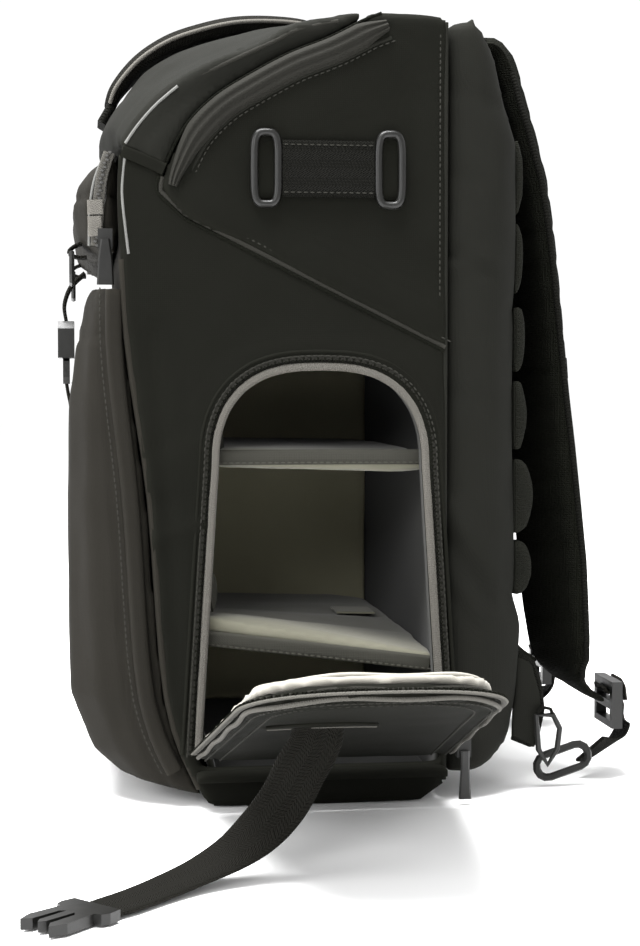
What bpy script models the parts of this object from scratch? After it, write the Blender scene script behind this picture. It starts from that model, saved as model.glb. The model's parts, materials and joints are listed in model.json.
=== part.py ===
"""Camera backpack with a side-access door, standing upright.

Frame: +Z up, -Y the front with the pockets, +Y the harness, +X the wearer's right, which is
the side with the camera door. The origin is the centre of the flat base. Sizes below are in
millimetres and become metres where the meshes are made.
"""
import math

import bmesh
import bpy
from mathutils import Vector

MM = 0.001
GAP = 0.3  # clearance between pieces that touch

# Body
HALF_WIDTH = 145.0
PANEL = 8.0
INNER_HALF = HALF_WIDTH - PANEL - GAP
REAR_SEAM_Y = 70.0
BASE_FRONT_Y = -60.0
BASE_REAR_Y = 56.0
HEM_Z = 10.0
SHELF_Z = 251.0
SHELF_THICK = 6.0
FAR_WALL_X = -115.0
FRONT_CONTROL = [
    (BASE_FRONT_Y, 0.0), (-69.0, HEM_Z), (-87.0, 61.0), (-96.0, 172.0),
    (-108.0, 259.0), (-112.0, 340.0), (-110.5, 366.0),
]
TOP_CONTROL = [
    (-110.6, 363.5), (-106.0, 372.0), (-99.0, 381.5), (-83.0, 397.0), (-57.5, 411.0),
    (-27.0, 425.5), (-11.0, 433.0), (32.0, 441.0), (REAR_SEAM_Y, 438.0),
]
CROWN_CONTROL = [
    (-120.0, 369.0), (-121.5, 381.0), (-117.0, 392.0), (-104.0, 408.0), (-72.0, 430.0),
    (-32.0, 442.5), (-9.0, 444.5), (32.0, 441.0), (REAR_SEAM_Y, 438.0),
]
WELT_CONTROL = [
    (-89.0, 341.0), (-86.0, 352.0), (-75.0, 374.0), (-59.0, 391.0), (-39.0, 404.0),
    (-17.0, 416.0), (5.0, 425.0), (24.0, 435.0),
]
WELT_WIDTH = 13.0
SEAM_KNEE = (-75.0, 328.0)
SEAM_REAR_Z = 256.0

# Side door and its arched opening
OPENING_FOOT = 22.0
OPENING_TOP = 245.0
OPENING_HALF_LOW = 69.0
OPENING_HALF_HIGH = 59.0
OPENING_SHOULDER = 190.0
DOOR_MARGIN = 3.0
DOOR_THICK = 7.0
DOOR_LIP = 5.0
DOOR_HINGE = (HALF_WIDTH + 12.0, 0.0, 24.0)
DOOR_OPEN = math.radians(72.0)

# Lid, pockets, harness
LID_HINGE = (0.0, -120.0, 367.0)
LID_REAR_Y = 23.7
LID_SKIRT_Z = 352.0
LOWER_POCKET_TOP = 288.0
LOWER_POCKET_HALF = 139.0
UPPER_POCKET_FOOT = 306.0
UPPER_POCKET_HALF = 128.0
UPPER_POCKET_TOP = 362.0
PAD_SEAMS = [113.0, 148.0, 195.0, 240.0, 283.0, 330.0, 377.0]
PAD_HEIGHTS = [12.5, 12.5, 9.0, 8.0, 6.5, 6.0]
PAD_BASE_Y = 113.1
PAD_HALF = 126.0
STRAP_X = 75.0
STRAP_TILTS = [(0.0, 0.0), (0.0, 50.0), (0.25, 70.0), (0.34, 129.0), (0.32, 196.0), (0.27, 244.0),
               (0.2, 298.0), (0.1, 355.0), (0.0, 400.0), (0.0, 500.0)]
STRAP_PIVOT = (101.0, 433.0)

COLOURS = {
    "shell": ((0.022, 0.024, 0.020), 0.85, 0.0),
    "mesh": ((0.012, 0.013, 0.010), 0.9, 0.0),
    "pocket": ((0.045, 0.036, 0.030), 0.85, 0.0),
    "lining": ((0.060, 0.060, 0.040), 0.9, 0.0),
    "divider": ((0.120, 0.120, 0.100), 0.9, 0.0),
    "binding": ((0.180, 0.170, 0.160), 0.8, 0.0),
    "webbing": ((0.016, 0.016, 0.014), 0.8, 0.0),
    "plastic": ((0.012, 0.012, 0.012), 0.4, 0.0),
    "metal": ((0.300, 0.300, 0.290), 0.35, 1.0),
    "board": ((0.080, 0.080, 0.080), 0.6, 0.0),
}


# ---------------------------------------------------------------- plane outlines

def curve_through(points, steps):
    """Points of a smooth curve through the given ones, steps to each span."""
    ends = [points[0]] + list(points) + [points[-1]]
    result = []
    for i in range(1, len(ends) - 2):
        p0, p1, p2, p3 = (Vector(ends[i + k]) for k in (-1, 0, 1, 2))
        for k in range(steps):
            t = k / steps
            value = p1 * 2 + (p2 - p0) * t + (p0 * 2 - p1 * 5 + p2 * 4 - p3) * t * t
            value += (p1 * 3 - p0 - p2 * 3 + p3) * t * t * t
            result.append(tuple(value * 0.5))
    result.append(tuple(points[-1]))
    return result


def offset_line(points, distance):
    """An open line moved sideways, to its right when the distance is positive."""
    moved = []
    for i, point in enumerate(points):
        before = Vector(points[max(i - 1, 0)])
        after = Vector(points[min(i + 1, len(points) - 1)])
        along = (after - before).normalized()
        moved.append((point[0] + along.y * distance, point[1] - along.x * distance))
    return moved


def inset(outline, distance):
    """A closed outline shrunk by a distance, its corners mitred."""
    count = len(outline)
    area = 0.0
    for i in range(count):
        (y0, z0), (y1, z1) = outline[i], outline[(i + 1) % count]
        area += y0 * z1 - y1 * z0
    side = 1.0 if area > 0 else -1.0
    result = []
    for i in range(count):
        here = Vector(outline[i])
        into = (here - Vector(outline[i - 1])).normalized()
        out = (Vector(outline[(i + 1) % count]) - here).normalized()
        n0 = Vector((-into.y, into.x)) * side
        n1 = Vector((-out.y, out.x)) * side
        mitre = (n0 + n1).normalized()
        result.append(tuple(here + mitre * distance / max(mitre.dot(n0), 0.4)))
    return result


def line_y(points, z):
    """The first coordinate where a rising line passes a height."""
    for (y0, z0), (y1, z1) in zip(points, points[1:]):
        if z0 <= z <= z1:
            return y0 + (y1 - y0) * (z - z0) / (z1 - z0)
    raise ValueError(f"no point of the line at {z}")


def between(points, low, high):
    """The stretch of a rising line between two heights, its ends included."""
    middle = [p for p in points if low + 1.0 < p[1] < high - 1.0]
    return [(line_y(points, low), low)] + middle + [(line_y(points, high), high)]


def arch(half_low, half_high, foot, shoulder, top, steps=8):
    """The outline of an arched opening, from its right foot over to its left one."""
    outline = [(half_low, foot)]
    for k in range(steps * 2 + 1):
        angle = math.pi * k / (steps * 2)
        reach = math.copysign(abs(math.cos(angle)) ** 0.75, math.cos(angle))
        rise = math.sin(angle) ** 0.85
        outline.append((half_high * reach, shoulder + (top - shoulder) * rise))
    outline.append((-half_low, foot))
    return outline


FRONT_LINE = curve_through(FRONT_CONTROL, 2)
TOP_LINE = curve_through(TOP_CONTROL, 3)
CROWN_LINE = curve_through(CROWN_CONTROL, 3)
WELT_LINE = curve_through(WELT_CONTROL, 2)


# ---------------------------------------------------------------- mesh making

def finish(name, build, colour, pivot=(0.0, 0.0, 0.0), parent=None):
    """Close a bmesh drawn in millimetres into a named object with its origin at pivot."""
    bmesh.ops.translate(build, verts=build.verts, vec=-Vector(pivot))
    bmesh.ops.scale(build, verts=build.verts, vec=(MM, MM, MM))
    bmesh.ops.recalc_face_normals(build, faces=build.faces)
    mesh = bpy.data.meshes.new(name)
    build.to_mesh(mesh)
    build.free()
    mesh.materials.append(material(colour))
    piece = bpy.data.objects.new(name, mesh)
    bpy.context.collection.objects.link(piece)
    if parent is None:
        piece.location = Vector(pivot) * MM
    else:
        piece.parent = parent
    return piece


def material(name):
    """The shared Principled material of one finish."""
    if name in bpy.data.materials:
        return bpy.data.materials[name]
    made = bpy.data.materials.new(name)
    made.use_nodes = True
    shader = made.node_tree.nodes["Principled BSDF"]
    colour, roughness, metallic = COLOURS[name]
    shader.inputs["Base Color"].default_value = (*colour, 1.0)
    shader.inputs["Roughness"].default_value = roughness
    shader.inputs["Metallic"].default_value = metallic
    return made


def smooth(piece, angle=40.0):
    """Shade a piece smooth, with its sharp edges kept."""
    piece.data.shade_smooth()
    piece.data.set_sharp_from_angle(angle=math.radians(angle))
    return piece


def loft(name, rings, colour, closed=False, **place):
    """A body through rings of points, capped at its ends or joined into a loop."""
    build = bmesh.new()
    grid = [[build.verts.new(p) for p in ring] for ring in rings]
    sides = len(rings[0])
    pairs = list(zip(grid, grid[1:]))
    if closed:
        pairs.append((grid[-1], grid[0]))
    for low, high in pairs:
        for i in range(sides):
            j = (i + 1) % sides
            build.faces.new((low[i], low[j], high[j], high[i]))
    if not closed:
        build.faces.new(grid[0])
        build.faces.new(grid[-1])
    return finish(name, build, colour, **place)


def prism(name, outline, low, high, colour, axis="X", **place):
    """An outline extruded from low to high along X, or along Z."""
    if axis == "X":
        rings = [[(x, y, z) for y, z in outline] for x in (low, high)]
    else:
        rings = [[(x, y, z) for x, y in outline] for z in (low, high)]
    return loft(name, rings, colour, **place)


def box(name, low, high, colour, **place):
    """A block between two corners."""
    outline = [(low[1], low[2]), (high[1], low[2]), (high[1], high[2]), (low[1], high[2])]
    return prism(name, outline, low[0], high[0], colour, **place)


def frame_plate(name, outer, hole, low, high, colour, **place):
    """A plate across X with one hole. Its two outlines have equally many points."""
    rings = [
        [(low, y, z) for y, z in outer], [(high, y, z) for y, z in outer],
        [(high, y, z) for y, z in hole], [(low, y, z) for y, z in hole],
    ]
    return loft(name, rings, colour, closed=True, **place)


def cut(piece, cutter):
    """Subtract a cutter, which stays in the file as a hidden guide."""
    cutter.hide_render = True
    cutter.display_type = "WIRE"
    difference = piece.modifiers.new("Opening", "BOOLEAN")
    difference.operation = "DIFFERENCE"
    difference.solver = "EXACT"
    difference.object = cutter


def strip(name, route, across, widths, thicks, colour, **place):
    """A flat strap along a route, with chamfered edges. Widths and thicknesses may vary."""
    points = [Vector(p) for p in route]
    count = len(points)
    widths = widths if isinstance(widths, list) else [widths] * count
    thicks = thicks if isinstance(thicks, list) else [thicks] * count
    rings = []
    for i, point in enumerate(points):
        along = (points[min(i + 1, count - 1)] - points[max(i - 1, 0)]).normalized()
        side = across[i] if isinstance(across, list) else across
        side = Vector(side)
        side = (side - along * side.dot(along)).normalized()
        normal = along.cross(side)
        half, deep = widths[i] / 2, thicks[i] / 2
        edge = min(half, deep) * 0.6
        corners = [
            (half, deep - edge), (half - edge, deep), (edge - half, deep), (-half, deep - edge),
            (-half, edge - deep), (edge - half, -deep), (half - edge, -deep), (half, edge - deep),
        ]
        rings.append([tuple(point + side * u + normal * v) for u, v in corners])
    return loft(name, rings, colour, **place)


def wire_loop(name, route, normal, radius, colour, sides=6, **place):
    """A closed loop of round wire whose route lies in one plane."""
    points = [Vector(p) for p in route]
    count = len(points)
    normal = Vector(normal).normalized()
    rings = []
    for i, point in enumerate(points):
        along = (points[(i + 1) % count] - points[i - 1]).normalized()
        outward = along.cross(normal)
        ring = []
        for k in range(sides):
            turn = 2 * math.pi * k / sides
            ring.append(tuple(point + (outward * math.cos(turn) + normal * math.sin(turn)) * radius))
        rings.append(ring)
    return smooth(loft(name, rings, colour, closed=True, **place), 70.0)


def rounded_loop(centre, half_y, half_z, radius, x, steps=3, tilt=0.0):
    """Points round a rectangle with round corners, in a plane across X."""
    points = []
    for quarter, (sy, sz) in enumerate(((1, 1), (-1, 1), (-1, -1), (1, -1))):
        for k in range(steps + 1):
            angle = math.pi / 2 * (quarter + k / steps)
            y = sy * (half_y - radius) + radius * math.cos(angle)
            z = sz * (half_z - radius) + radius * math.sin(angle)
            turned = (y * math.cos(tilt) - z * math.sin(tilt), y * math.sin(tilt) + z * math.cos(tilt))
            points.append((x, centre[0] + turned[0], centre[1] + turned[1]))
    return points


def empty_at(name, point, turn_y=0.0):
    """An empty that carries the pieces of one moving body."""
    pivot = bpy.data.objects.new(name, None)
    pivot.location = Vector(point) * MM
    pivot.rotation_euler = (0.0, turn_y, 0.0)
    bpy.context.collection.objects.link(pivot)
    return pivot


# ---------------------------------------------------------------- body

def top_behind_lid():
    """The stretch of the top line behind the lid's rear edge."""
    flat = [(z, y) for y, z in TOP_LINE]
    start = LID_REAR_Y + GAP
    return [(start, line_y(flat, start))] + [p for p in TOP_LINE if p[0] > start + 1.0]


def build_side(side, label):
    """Lower and upper side panel and the padded zipper welt between lid and panel."""
    inner, outer = sorted((side * (HALF_WIDTH - PANEL), side * HALF_WIDTH))
    lower = [(BASE_REAR_Y, 0.0), (REAR_SEAM_Y, HEM_Z), (REAR_SEAM_Y, SEAM_REAR_Z), SEAM_KNEE]
    lower += [p for p in WELT_LINE if p[1] < LID_SKIRT_Z + 0.5]
    lower += list(reversed(between(FRONT_LINE, 0.0, 361.5)))
    panel = prism(f"side_panel_{label}", inset(lower, GAP / 2), inner, outer, "shell")
    if side > 0:
        hole = arch(OPENING_HALF_LOW, OPENING_HALF_HIGH, OPENING_FOOT, OPENING_SHOULDER,
                    OPENING_TOP)
        cut(panel, prism("door_opening_cutter", hole, inner - 5, outer + 5, "shell"))
    upper = [(REAR_SEAM_Y, SEAM_REAR_Z)]
    upper += list(reversed(top_behind_lid()))
    upper += list(reversed(WELT_LINE)) + [SEAM_KNEE]
    prism(f"upper_side_{label}", inset(upper, GAP / 2), inner, outer, "shell")
    ridge = WELT_LINE[1:-1]
    welt = ridge + list(reversed(offset_line(ridge, WELT_WIDTH)))
    low, high = sorted((side * (HALF_WIDTH + GAP), side * (HALF_WIDTH + 6.0)))
    prism(f"zip_welt_{label}", welt, low, high, "shell")


def build_shell():
    """The fixed panels between the two sides, and the padded insert."""
    base = [(BASE_FRONT_Y, 0.0), (BASE_REAR_Y, 0.0), (REAR_SEAM_Y - 3, 8.0), (-66.0, 8.0)]
    prism("base_panel", base, -INNER_HALF, INNER_HALF, "shell")
    front = between(FRONT_LINE, 8.0 + GAP, 361.0)
    prism("front_panel", front + list(reversed(offset_line(front, PANEL))),
          -INNER_HALF, INNER_HALF, "shell")
    yoke = top_behind_lid()
    prism("top_yoke", yoke + list(reversed(offset_line(yoke, PANEL))),
          -INNER_HALF, INNER_HALF, "shell")
    box("frame_sheet", (-INNER_HALF, REAR_SEAM_Y - 3.5, 8 + GAP),
        (INNER_HALF, REAR_SEAM_Y - GAP, 429.0), "board")
    shelf_front = line_y(FRONT_LINE, SHELF_Z) + PANEL + 2.5
    wall_back = REAR_SEAM_Y - 3.5 - GAP
    box("compartment_shelf", (-INNER_HALF, shelf_front, SHELF_Z),
        (INNER_HALF, wall_back, SHELF_Z + SHELF_THICK), "lining")
    top = SHELF_Z - GAP
    floor_top = 15.0
    foot = floor_top + GAP
    box("insert_floor", (-INNER_HALF, -58.0, 8 + GAP), (INNER_HALF, wall_back, floor_top), "lining")
    far = [(-60.5, foot), (wall_back, foot), (wall_back, top), (-77.0, top), (-77.0, 66.0)]
    prism("insert_far_wall", far, -INNER_HALF, FAR_WALL_X, "lining")
    front = [(-56.5, foot), (-70.0, 58.0), (-70.0, top), (-77.5, top), (-77.5, 66.0), (-61.5, foot)]
    prism("insert_front_wall", front, FAR_WALL_X + GAP, INNER_HALF, "lining")


def build_dividers():
    """Two padded dividers between the insert's walls; the lower one lies twisted."""
    left_x, right_x = -113.0, 134.0
    rear_y = REAR_SEAM_Y - 5.0
    thick = 9.0
    corners = {
        "upper_divider": ((199.0, 195.5), (199.0, 197.0)),
        "lower_divider": ((108.0, 81.0), (91.0, 88.0)),
    }
    for name, (near, far) in corners.items():
        rings = []
        for k in range(5):
            t = k / 4
            x = left_x + (right_x - left_x) * t
            front_z = far[0] + (near[0] - far[0]) * t * t
            rear_z = far[1] + (near[1] - far[1]) * t * t
            rings.append([
                (x, -66.0, front_z - thick), (x, rear_y, rear_z - thick), (x, rear_y + 0.7, rear_z - 3),
                (x, rear_y, rear_z), (x, -66.0, front_z), (x, -66.7, front_z - 3),
            ])
        centre = (right_x, 0.0, sum(near) / 2)
        loft(name, rings, "divider", pivot=centre)


# ---------------------------------------------------------------- door

def build_door():
    """The arched side door on its hinge at the bottom edge, with its lip and zipper."""
    pivot = empty_at("side_door_pivot", DOOR_HINGE, DOOR_OPEN)
    inner_x = HALF_WIDTH + GAP
    outer = arch(OPENING_HALF_LOW + DOOR_MARGIN, OPENING_HALF_HIGH + DOOR_MARGIN,
                 OPENING_FOOT + 7.0, OPENING_SHOULDER, OPENING_TOP + DOOR_MARGIN)
    prism("side_door", outer, inner_x, inner_x + DOOR_THICK, "shell",
          pivot=DOOR_HINGE, parent=pivot)
    lip = arch(OPENING_HALF_LOW - 2.0, OPENING_HALF_HIGH - 2.0, OPENING_FOOT + 8.0,
               OPENING_SHOULDER, OPENING_TOP - 2.5)
    inside = arch(OPENING_HALF_LOW - 12.0, OPENING_HALF_HIGH - 12.0, OPENING_FOOT + 18.0,
                  OPENING_SHOULDER, OPENING_TOP - 12.5)
    frame_plate("door_lip", lip, inside, inner_x - GAP - DOOR_LIP, inner_x - GAP, "binding",
                pivot=DOOR_HINGE, parent=pivot)
    low = OPENING_FOOT - 2.0
    box("door_hinge_fold", (inner_x, -70.0, low - 4.0), (DOOR_HINGE[0], 70.0, low + 1.5), "shell")

    edge = arch(OPENING_HALF_LOW + 6.0, OPENING_HALF_HIGH + 6.0, OPENING_FOOT + 8.0,
                OPENING_SHOULDER, OPENING_TOP + 6.0)
    rim = arch(OPENING_HALF_LOW + 3.5, OPENING_HALF_HIGH + 3.5, OPENING_FOOT + 8.0,
               OPENING_SHOULDER, OPENING_TOP + 3.5)
    band = edge + list(reversed(rim))
    prism("zip_tape", band, inner_x, inner_x + 1.6, "binding")

    slider_y, slider_z = 80.0, 32.0
    top = inner_x + 1.6 + GAP
    box("door_slider", (top, slider_y - 4, slider_z - 6), (top + 5.0, slider_y + 4, slider_z + 6),
        "metal", pivot=(top, slider_y, slider_z))
    hang = (top + 7.0, slider_y, slider_z - 2.0)
    route = [(hang[0], slider_y, hang[2]), (hang[0], slider_y, 20.0), (hang[0], slider_y, 3.0)]
    strip("door_pull", route, (0, 1, 0), [5.0, 5.0, 7.0], 2.6, "plastic", pivot=hang)


# ---------------------------------------------------------------- lid and handle

def lid_crown(x):
    """The lid's top line at a distance from the middle: fullest in the middle."""
    share = 1.0 - abs(x / HALF_WIDTH) ** 2.2
    line = []
    for (y0, z0), (y1, z1) in zip(TOP_LINE, CROWN_LINE):
        y, z = y0 + (y1 - y0) * share, z0 + (z1 - z0) * share
        if y < LID_REAR_Y - 2.0:
            line.append((y, z))
    return line + [(LID_REAR_Y, 440.2)]


def build_lid():
    """The top lid, a padded cap with side skirts, and the grab handle on it."""
    skirt = [p for p in WELT_LINE if p[1] > LID_SKIRT_Z - 0.5]
    stations = [-HALF_WIDTH, -125.0, -90.0, -45.0, 0.0, 45.0, 90.0, 125.0, HALF_WIDTH]
    rings, hollow = [], []
    for x in stations:
        crown = lid_crown(x)
        outline = inset(crown + list(reversed(skirt)), GAP / 2)
        rings.append([(x, y, z) for y, z in outline])
        under = offset_line(crown, PANEL)
        room = under + [(60.0, under[-1][1]), (60.0, 300.0), (under[0][0], 300.0)]
        inside = x * (HALF_WIDTH - PANEL) / HALF_WIDTH
        hollow.append([(inside, y, z) for y, z in room])
    lid = loft("top_lid", rings, "shell", pivot=LID_HINGE)
    cut(lid, loft("lid_hollow_cutter", hollow, "shell"))

    control = [
        (-113.5, 408.0), (-109.0, 418.0), (-96.0, 432.5), (-79.0, 443.5), (-60.0, 450.5),
        (-38.0, 456.0), (-14.0, 458.0), (8.0, 457.0), (20.0, 451.0),
    ]
    arc = curve_through(control, 2)
    foot = (0.0, control[0][0], control[0][1])
    widths = [34.0 + 28.0 * math.sin(math.pi * i / (len(arc) - 1)) for i in range(len(arc))]
    strip("top_handle", [(0, y, z) for y, z in arc], (1, 0, 0), widths, 8.0, "webbing", pivot=foot)


# ---------------------------------------------------------------- front pockets

def pocket_ring(z, depth, half, wall=0.0):
    """A level section of a front pocket: flat on the body, bowed out at the front."""
    back = line_y(FRONT_LINE, z) - 0.6
    front = back - depth + wall
    back -= wall * 0.5
    half -= wall
    shoulder = [(half, 0.0), (half - 1.5, 0.35), (half - 9.0, 0.72), (half - 30.0, 1.0)]
    right = [(x, back + (front - back) * t, z) for x, t in shoulder]
    return right + [(-x, y, z_here) for x, y, z_here in reversed(right)]


def build_pockets():
    """The open lower pocket and the zipped upper pocket on the front."""
    stations = [(7.0, 6.0), (38.0, 13.0), (47.0, 28.0), (51.0, 61.0), (44.0, 172.0), (34.5, 226.0),
                (24.5, 263.0), (15.5, LOWER_POCKET_TOP)]
    levels = [z for _, z in stations] + [z for _, z in FRONT_LINE if 20.0 < z < LOWER_POCKET_TOP - 3]
    levels = sorted(set(round(z, 3) for z in levels))
    rings = [pocket_ring(z, line_y(stations, z), LOWER_POCKET_HALF) for z in levels]
    pocket = loft("lower_pocket", rings, "pocket")
    hollow_foot = 28.0
    inner = [z for z in levels if z >= hollow_foot]
    hollow = [pocket_ring(z, line_y(stations, z), LOWER_POCKET_HALF, wall=4.0) for z in inner]
    lift = [(x, y, z + 10.0) for x, y, z in hollow[-1]]
    cut(pocket, loft("lower_pocket_cutter", hollow + [lift], "pocket"))

    stations = [(6.0, UPPER_POCKET_FOOT), (21.0, 316.0), (23.0, 335.0), (19.5, 348.0), (12.0, 357.0),
                (4.0, UPPER_POCKET_TOP)]
    levels = [z for _, z in stations]
    levels += [z for _, z in FRONT_LINE if UPPER_POCKET_FOOT + 2 < z < UPPER_POCKET_TOP - 2]
    levels = sorted(set(round(z, 3) for z in levels))
    loft("upper_pocket", [pocket_ring(z, line_y(stations, z), UPPER_POCKET_HALF) for z in levels], "pocket")


def build_front_hardware():
    """Gear rings, the pocket's zipper slider and the buckled closing strap."""
    for side, label in ((1, "right"), (-1, "left")):
        x = side * 88.0
        top = (x, -135.0, 311.0)
        loop = [(x - 10, top[1] - 2, top[2] - 1), (x + 10, top[1] - 2, top[2] - 1)]
        for k in range(7):
            turn = math.pi * k / 6
            loop.append((x + 10 * math.cos(turn), top[1] - 2, top[2] - 7 - 11 * math.sin(turn)))
        wire_loop(f"front_ring_{label}", loop, (0, 1, 0), 1.7, "metal", pivot=top)

    x = UPPER_POCKET_HALF + 0.6
    y = -118.5
    box("pocket_slider", (x, y - 4, 310), (x + 4.5, y + 4, 321), "metal", pivot=(x, y, 316))
    hang = (x + 6.5, y, 315.0)
    route = [hang, (x + 6.5, y, 304.0), (x + 6.5, y, 290.0)]
    strip("pocket_pull", route, (0, 1, 0), [5.0, 8.0, 9.5], 3.0, "plastic", pivot=hang)

    build_front_buckle()


def build_front_buckle():
    """The strap that closes the lower pocket, with its side-release buckle."""
    y = -141.2
    top_z = 303.0
    tab_top = [(0, y + 11.0, 303.5), (0, y + 3.0, 296.0), (0, y - 1.0, 285.0), (0, y, 275.0)]
    strip("closing_strap", tab_top, (1, 0, 0), 24.0, 2.2, "webbing", pivot=(0, y + 10.5, top_z))
    outer = [(-17, 252.0), (17, 252.0), (17, 270.0), (12, 274.6), (-12, 274.6), (-17, 270.0)]
    shell = front_plate("buckle_socket", outer, y - 5.0, y + 5.0, "plastic")
    mouth = [(-12, 245.0), (12, 245.0), (12, 267.0), (-12, 267.0)]
    cut(shell, front_plate("buckle_socket_cutter", mouth, y - 2.5, y + 2.5, "plastic"))
    tongue = [(-11, 251.5), (-16, 250), (-16, 240), (-12, 236), (12, 236), (16, 240), (16, 250),
              (11, 251.5), (11, 262), (7, 265), (5, 256), (-5, 256), (-7, 265), (-11, 262)]
    front_plate("buckle_tongue", tongue, y - 2.0, y + 2.0, "plastic", pivot=(0, y, 252))


def front_plate(name, outline, back, front, colour, **place):
    """A flat piece across the front, drawn in X and Z."""
    rings = [[(x, y, z) for x, z in outline] for y in (back, front)]
    return loft(name, rings, colour, **place)


# ---------------------------------------------------------------- side lash points

def build_lash(side, label):
    """Two oblong loops and the webbing between them on the upper side panel."""
    x = side * (HALF_WIDTH + 2.6)
    half_slot = 20.0
    for end, y in (("front", -31.0), ("rear", 38.0)):
        loop = rounded_loop((y, 353.0), 5.2, half_slot, 5.0, x)
        wire_loop(f"lash_loop_{label}_{end}", loop, (1, 0, 0), 2.1, "plastic")
    route = [(x, -23.2, 353.5), (x + side * 0.6, 3.5, 353.5), (x, 30.2, 353.5)]
    strip(f"lash_webbing_{label}", route, (0, 0, 1), 31.0, 2.2, "webbing")


# ---------------------------------------------------------------- harness

def build_harness():
    """The padded back panel, narrower at its rear edges, and six lumbar pads."""
    rear = [(98.0, 14.0), (110.5, 30.0), (115.0, 60.0), (117.0, 98.0), (112.6, 111.5),
            (112.6, 200.0), (112.6, 374.0), (105.0, 396.0), (99.5, 421.0), (88.5, 441.5)]
    seam = REAR_SEAM_Y + GAP
    rings = []
    for x, squeeze in ((-143.0, 0.72), (-133.0, 1.0), (133.0, 1.0), (143.0, 0.72)):
        ring = [(x, seam, 12.0)]
        ring += [(x, seam + (y - seam) * squeeze, z) for y, z in rear]
        ring.append((x, seam, 439.5))
        rings.append(ring)
    loft("harness_panel", rings, "shell")
    for number, height in enumerate(PAD_HEIGHTS, start=1):
        low, high = PAD_SEAMS[number - 1:number + 1]
        middle = (low + high) / 2
        half = (high - low) / 2 - GAP
        bump = [(PAD_BASE_Y, middle - half)]
        for k in range(1, 6):
            turn = math.pi * k / 6
            bump.append((PAD_BASE_Y + height * math.sin(turn) ** 0.7, middle - half * math.cos(turn)))
        bump.append((PAD_BASE_Y, middle + half))
        prism(f"back_pad_{number}", bump, -PAD_HALF, PAD_HALF, "mesh")


def build_strap(side, label):
    """A shoulder strap with its adjuster, lower webbing and snap hook."""
    control = [
        (102.5, 433.0), (111.0, 430.0), (119.0, 410.0), (131.5, 355.0), (137.5, 298.0),
        (141.0, 244.0), (144.5, 196.0), (149.5, 129.0), (153.5, 80.0), (160.0, 58.0), (177.5, 46.0),
    ]
    bow = [0.0, 0.0, 0.0, -3.0, -6.0, -6.0, -3.0, 2.0, 5.0, 6.0, 6.0]
    widths = [58.0, 60.0, 62.0, 66.0, 66.0, 64.0, 60.0, 56.0, 50.0, 36.0, 28.0]
    thicks = [12.0, 14.0, 15.0, 15.0, 15.0, 15.0, 15.0, 15.0, 13.0, 8.0, 4.0]
    plan = [(y, z, b, w, t) for (y, z), b, w, t in zip(control, bow, widths, thicks)]
    drawn = curve_through([p[:2] for p in plan], 2)
    drawn_bow = curve_through([(p[2], p[3]) for p in plan], 2)
    drawn_thick = curve_through([(p[4], 0.0) for p in plan], 2)
    route = [(side * (STRAP_X + b), y, z) for (y, z), (b, _) in zip(drawn, drawn_bow)]
    pivot = (side * STRAP_X, *STRAP_PIVOT)
    tilts = [line_y(STRAP_TILTS, z) for _, _, z in route]
    across = [(1.0, side * tilt, 0.0) for tilt in tilts]
    strip(f"shoulder_strap_{label}", route, across, [w for _, w in drawn_bow],
          [t for t, _ in drawn_thick], "mesh", pivot=pivot)

    x = side * (STRAP_X + 7.0)
    adjuster_y = 184.0
    adjuster = box(f"strap_adjuster_{label}", (x - 19, adjuster_y - 3.2, 30.0),
                   (x + 19, adjuster_y + 3.2, 58.0), "plastic")
    for number, low in enumerate((34.0, 46.0)):
        slot = box(f"adjuster_slot_{label}_{number}", (x - 14, adjuster_y - 9, low),
                   (x + 14, adjuster_y + 9, low + 7.0), "plastic")
        cut(adjuster, slot)

    hook_x = side * 114.0
    route = [
        (x, 191.0, 40.0), (x, 193.5, 30.0), (x + side * 4, 187.0, 20.5), (x + side * 12, 176.0, 17.0),
        (x + side * 20, 167.0, 18.5),
    ]
    strip(f"lower_webbing_{label}", curve_through(route, 2), (1, 0, 0), 24.0, 2.4, "webbing")
    loop = rounded_loop((147.0, 14.5), 16.0, 6.8, 6.5, hook_x, tilt=math.radians(18.0))
    wire_loop(f"snap_hook_{label}", loop, (1, 0, 0), 2.3, "metal", pivot=(hook_x, 162.0, 19.5))


def build_corner(side, label):
    """The fabric wing at the harness's lower corner and the ring sewn into it."""
    low, high = sorted((side * 119.0, side * 123.0))
    wing = [(117.0, 80.0), (127.0, 75.0), (131.5, 60.0), (133.0, 46.0), (128.0, 24.0), (114.0, 30.0)]
    prism(f"corner_wing_{label}", wing, low, high, "shell")
    loop = [(side * 126.0, y, z) for y, z in
            ((128.0, 44.0), (138.0, 44.0), (142.0, 36.0), (140.5, 24.0), (135.0, 15.0), (129.5, 24.0))]
    wire_loop(f"corner_ring_{label}", loop, (1, 0, 0), 1.7, "metal", pivot=(side * 126, 133.0, 44.0))


# ---------------------------------------------------------------- waist strap

WAIST_ROUTE = [
    (299.4, -22.0, 72.2), (298.6, -22.6, 67.5), (297.0, -25.0, 61.0), (295.0, -30.0, 52.0),
    (293.0, -34.5, 42.0), (292.0, -40.0, 33.0), (292.0, -48.5, 23.5), (294.5, -61.0, 14.0),
    (300.5, -76.5, 7.2), (311.0, -92.0, 3.6), (322.5, -104.5, 2.2), (334.0, -115.5, 2.0),
    (343.5, -125.5, 2.0),
]
WAIST_ACROSS = [
    (0.0, 1.0, 0.0), (0.05, 1.0, -0.1), (0.1, 0.95, -0.2), (0.2, 0.92, -0.3), (0.3, 0.85, -0.35),
    (0.42, 0.78, -0.42), (0.6, 0.6, -0.5), (0.8, 0.5, -0.32), (0.85, 0.5, -0.12),
    (0.8, 0.6, -0.03), (0.72, 0.69, 0.0), (0.68, 0.73, 0.0), (0.68, 0.73, 0.0),
]
WAIST_WIDTH = 25.0


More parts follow.
